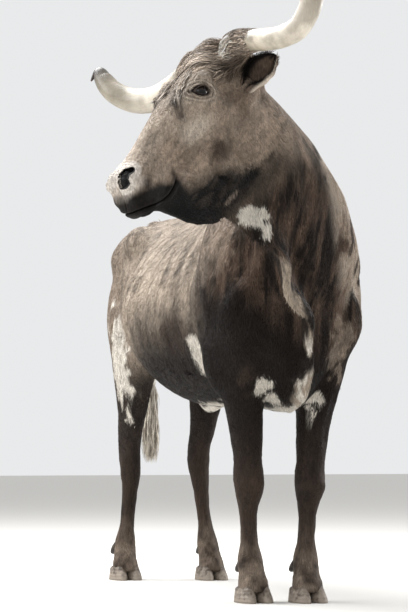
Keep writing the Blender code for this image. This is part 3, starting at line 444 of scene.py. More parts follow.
def node(tree: bpy.types.NodeTree, kind: str, settings: dict, links: dict) -> bpy.types.Node:
    """Adds a node with its settings and links.

    Args:
        tree: The material's tree.
        kind: The node's type, without the word that all shader nodes start with.
        settings: Attributes by name, input values by index or name, or a ramp's stops.
        links: Inputs by index or name, each with the output that feeds it.

    Returns:
        The node.
    """
    made = tree.nodes.new("ShaderNode" + kind)
    for key, value in settings.items():
        if key == "stops":
            for k, (place, colour) in enumerate(value):
                stop = made.color_ramp.elements[k] if k < 2 else made.color_ramp.elements.new(place)
                stop.position, stop.color = place, colour
        elif isinstance(key, str) and hasattr(made, key):
            setattr(made, key, value)
        else:
            made.inputs[key].default_value = value
    for key, source in links.items():
        tree.links.new(source, made.inputs[key])
    return made


def new_material(name: str, roughness: float, ior: float = 1.45) -> tuple:
    """Starts a material.

    Args:
        name: The real material's name.
        roughness: The surface's roughness.
        ior: Its refractive index.

    Returns:
        The material, its tree, its shader and its output of Object coordinates.
    """
    made = bpy.data.materials.new(name)
    made.use_nodes = True
    tree = made.node_tree
    shader = tree.nodes["Principled BSDF"]
    shader.inputs["Roughness"].default_value = roughness
    shader.inputs["IOR"].default_value = ior
    return made, tree, shader, node(tree, "TexCoord", {}, {}).outputs["Object"]


@dataclass(frozen=True)
class Hide:
    """Cattle skin under a short coat: fine hair grain and pores, and dull."""

    roughness: float = 0.62
    grain: float = 0.0016  # metres between hairs drawn in the bump, coarser than the real 0.1 mm
    wrinkle: float = 0.012

    def build(self) -> Finish:
        """Builds the material, coloured by the hide's own attribute.

        Returns:
            The material.
        """
        made, tree, shader, place = new_material("cattle_hide", self.roughness)
        tint = node(tree, "Attribute", {"attribute_name": "coat"}, {}).outputs["Color"]
        stretch = node(tree, "Mapping", {"Scale": (1.0, 1.0, 0.22)}, {0: place}).outputs[0]
        hairs = node(tree, "TexNoise", {"Scale": 1 / self.grain / 3, "Detail": 3.0}, {0: stretch})
        creases = node(tree, "TexNoise", {"Scale": 1 / self.wrinkle, "Detail": 4.0}, {0: place})
        shade = node(tree, "ValToRGB",
                     {"stops": [(0.32, (0.62, 0.62, 0.62, 1)), (0.66, (1.18, 1.18, 1.18, 1))]},
                     {0: hairs.outputs[0]}).outputs[0]
        colour = node(tree, "Mix", {"data_type": "RGBA", "blend_type": "MULTIPLY", 0: 1.0},
                      {6: tint, 7: shade})
        tree.links.new(colour.outputs[2], shader.inputs["Base Color"])
        low = node(tree, "Bump", {"Strength": 0.5, "Distance": 0.0022}, {"Height": creases.outputs[0]})
        high = node(tree, "Bump", {"Strength": 0.6, "Distance": 0.0012},
                    {"Height": hairs.outputs[0], "Normal": low.outputs[0]})
        tree.links.new(high.outputs[0], shader.inputs["Normal"])
        shader.inputs["Specular IOR Level"].default_value = 0.12
        return made


@dataclass(frozen=True)
class CoatHair:
    """Cattle hair in small locks: smooth keratin, so satin along its length, coloured lock by lock."""

    roughness: float = 0.5
    specular: float = 0.14

    def build(self) -> Finish:
        """Builds the material, coloured by each lock's own attribute.

        Returns:
            The material.
        """
        made, tree, shader, place = new_material("cattle_hair", self.roughness, 1.55)
        tint = node(tree, "Attribute", {"attribute_name": "coat"}, {}).outputs["Color"]
        fine = node(tree, "TexNoise", {"Scale": 520.0, "Detail": 2.0}, {0: place})
        shade = node(tree, "ValToRGB",
                     {"stops": [(0.35, (0.8, 0.8, 0.8, 1)), (0.65, (1.14, 1.14, 1.14, 1))]},
                     {0: fine.outputs[0]}).outputs[0]
        colour = node(tree, "Mix", {"data_type": "RGBA", "blend_type": "MULTIPLY", 0: 1.0},
                      {6: tint, 7: shade})
        tree.links.new(colour.outputs[2], shader.inputs["Base Color"])
        shader.inputs["Specular IOR Level"].default_value = self.specular
        return made


@dataclass(frozen=True)
class HornKeratin:
    """Horn sheath: ivory keratin, ringed at the root, streaked along its length, polished with wear."""

    pale: str = "#DDD5C5"
    grey: str = "#9C9484"
    dark: str = "#2A2522"

    def build(self) -> Finish:
        """Builds the material, whose attribute runs from 0 at the root to 1 at the tip.

        Returns:
            The material.
        """
        made, tree, shader, place = new_material("horn_keratin", 0.34, 1.54)
        along = node(tree, "Attribute", {"attribute_name": "growth"}, {})
        share, turn, _ = node(tree, "SeparateXYZ", {}, {0: along.outputs["Vector"]}).outputs
        flow = node(tree, "CombineXYZ", {}, {}).inputs
        scaled = node(tree, "Math", {"operation": "MULTIPLY", 1: 2.6}, {0: share}).outputs[0]
        tree.links.new(scaled, flow[0])
        tree.links.new(turn, flow[1])
        fibres = node(tree, "TexNoise", {"Scale": 26.0, "Detail": 6.0, "Roughness": 0.6},
                      {0: flow[0].node.outputs[0]})
        clouds = node(tree, "TexNoise", {"Scale": 14.0, "Detail": 4.0}, {0: place})
        noisy = node(tree, "Math", {"operation": "MULTIPLY_ADD", 1: 0.16, 2: -0.08}, {0: clouds.outputs[0]})
        wander = node(tree, "Math", {"operation": "ADD"}, {0: share, 1: noisy.outputs[0]}).outputs[0]
        base = node(tree, "ValToRGB",
                    {"stops": [(0.17, linear("#8F8574")), (0.25, linear("#CFC6B4")),
                               (0.33, linear(self.pale)), (0.48, linear("#E4DCCD")),
                               (0.62, linear("#BDB5A4")), (0.8, linear(self.grey)),
                               (0.93, linear(self.dark))]}, {0: wander}).outputs[0]
        veins = node(tree, "ValToRGB", {"stops": [(0.36, (0.66, 0.64, 0.6, 1)), (0.6, (1.0, 1.0, 1.0, 1))]},
                     {0: fibres.outputs[0]}).outputs[0]
        veined = node(tree, "Mix", {"data_type": "RGBA", "blend_type": "MULTIPLY", 0: 0.42},
                      {6: base, 7: veins})
        stains = node(tree, "ValToRGB",
                      {"stops": [(0.38, (0.46, 0.44, 0.42, 1)), (0.6, (1.0, 1.0, 1.0, 1))]},
                      {0: clouds.outputs[0]}).outputs[0]
        colour = node(tree, "Mix", {"data_type": "RGBA", "blend_type": "MULTIPLY", 0: 0.75},
                      {6: veined.outputs[2], 7: stains})
        tree.links.new(colour.outputs[2], shader.inputs["Base Color"])
        rough = node(tree, "MapRange", {3: 0.28, 4: 0.5}, {0: fibres.outputs[0]})
        tree.links.new(rough.outputs[0], shader.inputs["Roughness"])
        bump = node(tree, "Bump", {"Strength": 0.45, "Distance": 0.0012}, {"Height": fibres.outputs[0]})
        tree.links.new(bump.outputs[0], shader.inputs["Normal"])
        shader.inputs["Subsurface Weight"].default_value = 0.06
        return made


@dataclass(frozen=True)
class HoofHorn:
    """Hoof wall: grey-brown horn grown in level rings, dry, with dust and dried mud towards the ground."""

    wall: str = "#54493F"
    dust: str = "#857A6E"
    ring: float = 0.006  # metres between growth rings

    def build(self) -> Finish:
        """Builds the material.

        Returns:
            The material.
        """
        made, tree, shader, place = new_material("hoof_horn", 0.66, 1.5)
        height = node(tree, "SeparateXYZ", {}, {0: place}).outputs[2]
        rings = node(tree, "TexWave",
                     {"wave_type": "BANDS", "bands_direction": "Z", "Scale": 0.31416 / self.ring / 2,
                      "Distortion": 2.2, "Detail": 3.0, "Detail Scale": 2.0},
                     {0: place})
        mud = node(tree, "TexNoise", {"Scale": 60.0, "Detail": 6.0}, {0: place})
        share = node(tree, "MapRange", {1: 0.0, 2: 0.075, 3: 0.42, 4: -0.1}, {0: height})
        mixed = node(tree, "Math", {"operation": "ADD", "use_clamp": True},
                     {0: share.outputs[0], 1: mud.outputs[0]})
        colour = node(tree, "ValToRGB",
                      {"stops": [(0.4, linear("#251F1B")), (0.58, linear(self.wall)),
                                 (0.8, linear(self.dust))]}, {0: mixed.outputs[0]}).outputs[0]
        tree.links.new(colour, shader.inputs["Base Color"])
        low = node(tree, "Bump", {"Strength": 0.7, "Distance": 0.0014}, {"Height": rings.outputs[0]})
        high = node(tree, "Bump", {"Strength": 0.5, "Distance": 0.001},
                    {"Height": mud.outputs[0], "Normal": low.outputs[0]})
        tree.links.new(high.outputs[0], shader.inputs["Normal"])
        return made


@dataclass(frozen=True)
class WetEye:
    """A cow's eye: a dark brown iris round a level pupil, all under a wet clear cornea."""

    iris: str = "#140B07"
    white: str = "#3A2F29"

    def build(self, centre: Vector, gaze: Vector, level: Vector) -> Finish:
        """Builds the material for one eye.

        Args:
            centre: The ball's middle in the frame.
            gaze: Where the eye looks.
            level: The long way of the pupil.

        Returns:
            The material.
        """
        made, tree, shader, place = new_material("wet_cornea", 0.06, 1.376)
        axis = gaze.normalized()
        across = (level - axis * level.dot(axis)).normalized()
        rise = axis.cross(across).normalized()

        def along(way: Vector, gain: float) -> bpy.types.NodeSocket:
            """Distance from the eye's middle along one way."""
            off = node(tree, "VectorMath", {"operation": "SUBTRACT", 1: tuple(centre)}, {0: place})
            dot = node(tree, "VectorMath", {"operation": "DOT_PRODUCT", 1: tuple(way * gain)},
                       {0: off.outputs[0]})
            return dot.outputs["Value"]

        def radius(wide: float, tall: float) -> bpy.types.NodeSocket:
            """Oval distance from the middle of the pupil."""
            joined = node(tree, "CombineXYZ", {}, {0: along(across, 1 / wide), 1: along(rise, 1 / tall)})
            return node(tree, "VectorMath", {"operation": "LENGTH"}, {0: joined.outputs[0]}).outputs["Value"]

        ring = node(tree, "ValToRGB",
                    {"stops": [(0.3, linear("#1A100A")), (0.62, linear(self.iris)), (0.8, linear("#0B0706")),
                               (0.86, linear("#1A1310")), (0.97, linear(self.white))]},
                    {0: radius(0.02, 0.02)}).outputs[0]
        slit = node(tree, "ValToRGB", {"stops": [(0.46, (0, 0, 0, 1)), (0.52, (1, 1, 1, 1))]},
                    {0: radius(0.02, 0.012)}).outputs[0]
        colour = node(tree, "Mix", {"data_type": "RGBA", "blend_type": "MULTIPLY", 0: 1.0},
                      {6: ring, 7: slit})
        tree.links.new(colour.outputs[2], shader.inputs["Base Color"])
        shader.inputs["Specular IOR Level"].default_value = 0.25
        shader.inputs["Coat Weight"].default_value = 0.35
        shader.inputs["Coat Roughness"].default_value = 0.02
        return made


# Coat colours and lie


BROW_CREASE = ((0.232, -0.002, 0.022), (0.258, -0.006, 0.044), (0.286, -0.02, 0.063), (0.308, -0.042, 0.076))
FOREHEAD_FLOW = ((0.06, -0.02, 0.075), (0.106, -0.008, 0.048), (0.15, 0.002, 0.036), (0.19, 0.002, 0.036),
                 (0.25, -0.004, 0.05), (0.29, -0.022, 0.062), (0.312, -0.052, 0.074))


@dataclass(frozen=True)
class Crease:
    """A groove pressed into the hide along a line, or a ridge where its depth is below nothing."""

    line: tuple
    depth: float
    width: float

    def press(self, places: Rows) -> Rows:
        """Gives how far out each place moves, with the groove's lips a little raised.

        Args:
            places: Positions in the line's frame.

        Returns:
            One distance a place.
        """
        gap, share = polyline_distance(places, np.array(self.line))
        taper = fade(share, -0.02, 0.22) * fade(1 - share, -0.02, 0.22)
        lips = 0.3 * ridge(gap, self.width, 2.1 * self.width)
        return self.depth * taper * (lips - ridge(gap, self.width))


@dataclass(frozen=True)
class Patch:
    """One area of another colour: its middle before the shift, its radii, and how it ends."""

    at: tuple[float, float, float]
    radii: tuple[float, float, float]
    ragged: float = 0.45
    paint: str = "#DCD5CA"
    share: float = 1.0
    soft: float = 0.13


@dataclass(frozen=True)
class Markings:
    """The colours of hide and coat by place: dark brown, lighter on face and barrel, with white patches, and
    painted highlights and shade.
    """

    dark: str = "#1E1815"
    brown: str = "#5A4A3F"
    # pale hair, and the colour of the painted highlights
    light: str = "#BDAFA0"
    face: str = "#958576"
    barrel: str = "#B4A595"
    pale_nose: str = "#C9BEB3"
    # the dewlap's fold: lighter hair with a painted highlight on its lit side
    fold: str = "#B3A595"
    dust: str = "#8B7C6E"
    black: str = "#0C0908"
    dewlap: tuple = ((-0.228, -0.43, 1.06), (-0.16, -0.43, 0.99), (-0.105, -0.372, 0.88),
                     (-0.05, -0.3, 0.795),
                     (-0.03, -0.246, 0.705), (-0.012, -0.19, 0.626))
    lines: tuple = (
        (((-0.17, 0.275, 1.27), (-0.215, 0.275, 1.15), (-0.24, 0.275, 1.01), (-0.238, 0.245, 0.86)), 0.011),
        (((-0.145, -0.02, 1.25), (-0.185, -0.022, 1.13), (-0.215, -0.04, 1.02)), 0.009),
        *((((-0.12, y, 1.29), (-0.215, y + 0.1, 1.19), (-0.275, y + 0.21, 1.03), (-0.272, y + 0.26, 0.86)),
           0.012)
          for y in (0.3, 0.4, 0.52, 0.66)),
    )  # where the light catches the back of the shoulder and the ribs, alike on both sides
    tones: tuple[Patch, ...] = ()  # alike on both sides
    patches: tuple[Patch, ...] = ()
    head_tones: tuple[Patch, ...] = ()  # in the head's frame, alike on both sides

    def colour(self, points: Rows, fine: float = 1.0) -> Rows:
        """Gives linear colours at places before the shift.

        Args:
            points: Positions.
            fine: The share of the small variation.

        Returns:
            One colour a point.
        """
        local = to_head(points)
        u, v = local.T[:2]
        tone = np.tile(linear_row(self.dark), (len(points), 1))

        def blend(share: Rows, paint: Rows) -> None:
            """Lays one colour over the tones by a share."""
            nonlocal tone
            tone = mixed(tone, paint, np.clip(share, 0, 1))

        def lay(patches: tuple, places: Rows, keep: Rows | float = 1.0) -> None:
            """Lays areas over the tones, each with its own ragged or soft edge."""
            rough = noise(places, 0.028, 7) + 0.45 * noise(places, 0.01, 8)
            for patch in patches:
                off = (places - np.array(patch.at)) / np.array(patch.radii)
                edge = np.linalg.norm(off, axis=1) + patch.ragged * rough
                blend(keep * patch.share * fade(1.06 - edge, 0.0, patch.soft),
                      linear_row(patch.paint) * hairs)

        slow = noise(points, 0.11, 1)
        # noise drawn out down the sides: lighter and darker hair, and painted sheen along the hair
        streak_at = points * np.array([1.0, 1.0, 0.16]) + np.array([0, 0.1, 0]) * points[:, 2:]
        streaks_and_sheen = 0.6 * noise(streak_at * np.array([1.0, 1.0, 0.5]), 0.024, 2)
        streaks_and_sheen = streaks_and_sheen + 0.4 * noise(streak_at, 0.009, 3)
        hairs = (1 + 0.22 * streaks_and_sheen)[:, None]
        self.body(points, blend, slow, streaks_and_sheen)
        lay(self.tones, one_side(points, 0))
        on = fade(u, -0.07, 0.02) * fade(v, -0.46, -0.34)
        on = on * fade(0.7 - u, 0.0, 0.05) * fade(0.16 - v, 0.0, 0.05)
        self.head(local, on, blend)
        lay(self.head_tones, one_side(local, 2), on)
        self.muzzle(local, on, blend)
        fold, down = polyline_distance(points, np.array(self.dewlap))
        # painted highlight down the lit side of the dewlap's fold, partly lighter hair, with white spots low
        # down
        lit = fade(0.05 + 0.022 * streaks_and_sheen + 0.012 * noise(points, 0.05, 17) - fold, 0.0, 0.022)
        blend(lit * 0.85 * fade(down, 0.05, 0.16), linear_row(self.fold) * (1 + 0.3 * streaks_and_sheen[:, None]))
        spots = fade(noise(points, 0.02, 12) + 0.4 * noise(points, 0.008, 13), 0.3, 0.05)
        blend(lit * fade(down, 0.55, 0.64) * spots * fade(0.044 - fold, 0.0, 0.01), linear_row("#DCD5CA"))
        lay(self.patches, points)
        tone = tone * (1 + fine * 0.2 * noise(points, 0.006, 10))[:, None]
        return np.clip(tone, 0.004, 0.9)

    def body(self, points: Rows, blend: Callable, slow: Rows, streaks_and_sheen: Rows) -> None:
        """Lays the broad colours of trunk, neck and legs, with painted highlights along the top, down the far
        side of the neck and over shoulder and ribs, and painted shade on the underside.

        Args:
            points: Positions before the shift.
            blend: Lays a colour over the tones by a share.
            slow: Wide noise there.
            streaks_and_sheen: Noise drawn out down the sides.
        """
        x, y, z = points.T
        u = to_head(points)[:, 0]
        barrel, brown, light = map(linear_row, (self.barrel, self.brown, self.light))
        # the barrel's colour fades out downwards, so the belly and chest keep the dark base as painted shade
        # on the underside
        side = fade(y, 0.06, 0.26) * fade(z + 0.1 * fade(y, 0.5, 0.9), 0.76, 1.04)
        blend(side * (0.74 + 0.15 * slow + 0.7 * streaks_and_sheen), barrel)
        # painted highlight along the top of the barrel
        blend(fade(y, 0.1, 0.34) * fade(z, 1.12, 1.26) * (0.16 + 0.5 * streaks_and_sheen), light)
        torn = noise(points * np.array([1.0, 1.0, 0.55]), 0.05,
                     15) + 0.6 * noise(points * np.array([1.0, 1.0, 0.4]), 0.018, 16)
        neck = fade(-y, -0.12, 0.06) * fade(0.4 - u, 0.0, 0.1)
        upper = fade(z - 0.2 * y, 1.35, 1.46)
        blend(neck * upper * fade(torn, -0.36, 0.04) * 0.9, brown * 2.5 * (1 + 0.6 * streaks_and_sheen[:, None]))
        # painted sheen along the crest of the neck
        crest = fade(z - (1.17 - 0.35 * (y + 0.2)), -0.04, 0.22) * neck
        blend(crest * (0.4 + 0.7 * streaks_and_sheen + 0.3 * torn), light * 0.8)
        # painted sheen down the far side of the neck
        edge = fade(x + 0.35 * (z - 1.05), 0.055, 0.12) * fade(z, 0.84, 1.0)
        edge = edge * fade(0.3 - y, 0.0, 0.1) * fade(0.4 - u, 0.0, 0.1)
        blend(edge * (0.96 + 0.3 * streaks_and_sheen) * fade(torn, -0.56, -0.3), light * 1.15)
        front = fade(0.1 - y, 0.0, 0.12) * fade(z, 0.66, 0.86) * fade(0.4 - u, 0.0, 0.1) * (1 - upper * neck)
        blend(front * (0.28 + 1.0 * streaks_and_sheen), brown * 1.7)
        # painted highlights where the light catches the back of the shoulder and the ribs
        for line, width in self.lines:
            gap, along = polyline_distance(np.stack([-abs(x), y, z], 1), np.array(line))
            blend(ridge(gap, width) * (0.8 + 0.5 * streaks_and_sheen) * fade(along, 0.0, 0.1)
                  * fade(1 - along, 0.0, 0.3), light * 1.2)
        blend(fade(y, 0.85, 1.15) * fade(z, 0.35, 0.9) * (0.3 + 0.5 * streaks_and_sheen), brown)
        blend(0.34 * fade(0.62 - z, 0.0, 0.25) * (1 + slow + 0.9 * streaks_and_sheen), brown * 0.8)
        dusty = fade(0.26 - z, 0.0, 0.16) * (0.5 + 0.6 * noise(points, 0.022, 4))
        blend(dusty, linear_row(self.dust))

    def head(self, local: Rows, on: Rows, blend: Callable) -> None:
        """Lays the broad colours of the head, with painted shade under the jaw and in the crease of the brow.

        Args:
            local: Positions in the head's frame.
            on: How much each belongs to the head.
            blend: Lays a colour over the tones by a share.
        """
        u, v = local.T[:2]
        flow = noise(local * np.array([0.35, 1.0, 1.0]), 0.022, 5)
        fur = noise(local * np.array([0.3, 1.0, 1.0]), 0.008, 14)
        blend(on * (0.94 + 0.1 * flow), linear_row(self.face) * (1 + 0.3 * flow + 0.28 * fur)[:, None])
        bridge = fade(v, -0.085, -0.015) * fade(u, 0.02, 0.1)
        blend(on * bridge * (0.6 + 0.45 * fur),
              linear_row(self.light) * (1.0 + 0.25 * fade(u, 0.3, 0.5))[:, None])
        brows = fade(v, -0.06, -0.01) * fade(0.34 - u, 0.0, 0.14)
        blend(on * brows * fade(fur + 0.4 * flow, 0.02, 0.3) * 0.4, linear_row("#3A2F28"))
        # painted shade under the jaw, near black on its turned-under side and corner
        edge = np.interp(u, (0.19, 0.327, 0.45, 0.6), (0.335, 0.228, 0.185, 0.15))
        jaw = fade(-v - edge + 0.016 * flow + 0.01 * fur, -0.022, 0.05) * fade(u, 0.05, 0.16)
        blend(on * jaw * (0.97 + 0.12 * flow + 0.12 * fur), linear_row("#0F0C0A"))
        # painted shade in the crease of the brow
        brow_shade_gap, _ = polyline_distance(one_side(local, 2), np.array(BROW_CREASE))
        blend(on * ridge(brow_shade_gap, 0.016) * (0.62 + 0.4 * fur), linear_row("#1A1411"))

    def muzzle(self, local: Rows, on: Rows, blend: Callable) -> None:
        """Lays the black lips, the pale muzzle, the colours of nostrils and lids, painted shade inside the
        nostrils, and painted shade and highlights on the folds round the lids.

        Args:
            local: Positions in the head's frame.
            on: How much each belongs to the head.
            blend: Lays a colour over the tones by a share.
        """
        u, v, w = local.T
        face = Face()
        flow = noise(local * np.array([0.35, 1.0, 1.0]), 0.022, 5)
        rise = face.mouth_gap(local)
        tall = 0.034 + 0.042 * fade(u, 0.46, 0.53)
        lips = fade(tall + 0.014 * flow - rise, 0.0, 0.026) * fade(u, 0.425, 0.455)
        blend(on * lips * 0.98, linear_row(self.black))
        nose = fade(u + 0.34 * v - 0.1 * abs(w), 0.488, 0.53) * fade(v, -0.1 - 0.01 * flow, -0.06)
        blend(on * nose * 0.95, linear_row(self.pale_nose) * (1 + 0.15 * flow)[:, None])
        hole = face.nostril_gap(local)
        blend(on * fade(0.013 - abs(hole - 0.008), 0.0, 0.006) * 0.8, linear_row("#DED6CD"))
        # painted shade inside the nostrils
        blend(on * fade(0.003 - hole, 0.0, 0.0024), linear_row("#040303"))
        eye = face.eye_gap(local, 0.03)
        blend(on * fade(0.036 - eye, 0.0, 0.016) * 0.5, linear_row("#B9AB9C"))
        # painted shade in the folds round the lids, and a painted highlight between them
        rings = ridge(eye, 0.0022, 0.0115) + 0.7 * ridge(eye, 0.0024, 0.02)
        blend(on * rings * 0.55, linear_row("#332923"))
        blend(on * ridge(eye, 0.0026, 0.0158) * 0.28, linear_row("#D2C6B8"))
        blend(on * fade(0.0078 - eye + 0.002 * flow, 0.0, 0.005) * 0.85, linear_row("#1B1512"))


MARKINGS = Markings(
    tones=(
        Patch((0.18, -0.03, 1.13), (0.08, 0.1, 0.17), 0.25, "#927F70", 0.85, 0.8),
        Patch((0.2, 0.11, 1.0), (0.06, 0.08, 0.17), 0.3, "#4E4037", 0.7, 0.8),
        Patch((0.255, 0.33, 0.86), (0.07, 0.14, 0.11), 0.3, "#3A2F29", 0.8, 0.8),
        Patch((0.195, 0.03, 1.13), (0.1, 0.17, 0.19), 0.2, "#A09081", 0.88, 0.9),
        Patch((0.15, -0.06, 0.74), (0.05, 0.06, 0.11), 0.6, "#4A3D34", 0.6, 0.8),
        Patch((0.205, 0.88, 1.04), (0.08, 0.14, 0.17), 0.3, "#A69788", 0.6, 0.8),
    ),
    patches=(
        Patch(tuple(on_head(0.048, 0.018, 0.098)), (0.046, 0.042, 0.04), 0.5),
        Patch((0.14, -0.165, 0.79), (0.05, 0.08, 0.095), 1.0, "#9A8B7D", 0.75, 0.5),
        Patch((0.0, 0.42, 0.6), (0.11, 0.34, 0.05)),
        Patch((-0.2, 0.225, 0.765), (0.08, 0.038, 0.092)),
        Patch((0.21, 0.3, 0.72), (0.06, 0.09, 0.1)),
        Patch((-0.21, 1.09, 0.8), (0.07, 0.085, 0.16), 0.8),
        Patch((0.2, 1.02, 0.8), (0.08, 0.12, 0.13), 0.7),
        Patch((-0.262, -0.445, 1.166), (0.062, 0.045, 0.03), 0.45),
        Patch((-0.218, -0.43, 1.128), (0.018, 0.04, 0.036), 0.4),
        Patch((-0.098, -0.09, 0.676), (0.022, 0.055, 0.024), 0.6),
        Patch((-0.062, -0.085, 0.64), (0.026, 0.055, 0.022), 0.6),
        Patch((-0.01, -0.055, 0.605), (0.05, 0.08, 0.02), 0.5),
        Patch((0.09, 0.02, 0.64), (0.03, 0.1, 0.05), 0.6),
        Patch((0.02, 1.43, 0.7), (0.06, 0.06, 0.1), 0.2),
    ),
    head_tones=(
        Patch((0.296, -0.098, 0.085), (0.092, 0.062, 0.09), 0.14, "#CDC0B1", 0.9, 1.0),
        Patch((0.284, -0.196, 0.085), (0.062, 0.05, 0.09), 0.25, "#3A2F28", 0.88, 1.0),
        Patch((0.4, -0.14, 0.07), (0.07, 0.03, 0.06), 0.6, "#6A5A4D", 0.6, 0.8),
        # painted shadow in the hollow of the brow
        Patch((0.246, -0.002, 0.05), (0.092, 0.03, 0.026), 0.18, "#1C1613", 0.88, 0.9),
        Patch((0.13, -0.15, 0.095), (0.06, 0.06, 0.08), 0.4, "#6B5B4E", 0.6, 0.8),
        Patch((0.075, -0.065, 0.11), (0.045, 0.045, 0.06), 0.4, "#2E2620", 0.7, 0.6),
        Patch((0.425, -0.168, 0.062), (0.04, 0.02, 0.06), 0.4, "#94857A", 0.6, 0.6),
        Patch((0.478, -0.098, 0.068), (0.05, 0.028, 0.06), 0.5, "#A09183", 0.55, 0.7),
        Patch((0.54, -0.086, 0.066), (0.032, 0.024, 0.04), 0.4, "#2C231F", 0.85, 0.7),
        Patch((0.338, -0.336, 0.04), (0.04, 0.008, 0.03), 0.3, "#A79789", 0.45, 0.5),
    ),
)


def lie_of(points: Rows, normals: Rows) -> Rows:
    """Gives the direction the hair lies in, tangent to the hide.

    Args:
        points: Places before the shift.
        normals: The hide's normals there.

    Returns:
        One unit row a point.
    """
    y, z = points.T[1:]
    local = to_head(points)
    u, v = local.T[:2]
    ways = np.zeros_like(points)
    ways[:] = (0.0, 0.34, -0.94)
    ways = mixed(ways, np.array((0.0, 1.0, -0.1)), fade(normals[:, 2], 0.55, 0.9))
    ways = mixed(ways, np.array((0.05, 0.3, -0.95)), fade(-y, -0.1, 0.1) * fade(z, 0.8, 1.0))
    ways = mixed(ways, np.array((0.0, 0.18, -0.98)), fade(0.66 - z, 0.0, 0.12))
    whorl = local - np.array((0.175, 0.0, 0.0))
    away = whorl / np.maximum(np.linalg.norm(whorl, axis=1), 1e-6)[:, None]
    head_way = mixed(away, np.array((0.1, -1.0, 0.0)), fade(-v, 0.02, 0.12))
    head_way = mixed(head_way, np.array((-0.55, -0.75, 0.0)), fade(u, 0.36, 0.46))
    on = fade(u, -0.06, 0.02) * fade(v, -0.44, -0.34) * fade(0.16 - v, 0.0, 0.05) * fade(0.72 - u, 0.0, 0.05)
    ways = mixed(ways, head_way @ HEAD_AXES.T, on)
    wave = 0.16 * noise(points, 0.05, 11)[:, None] * np.cross(normals, ways)
    ways = ways + wave
    ways -= normals * np.sum(ways * normals, axis=1)[:, None]
    return ways / np.maximum(np.linalg.norm(ways, axis=1), 1e-6)[:, None]


# The hide


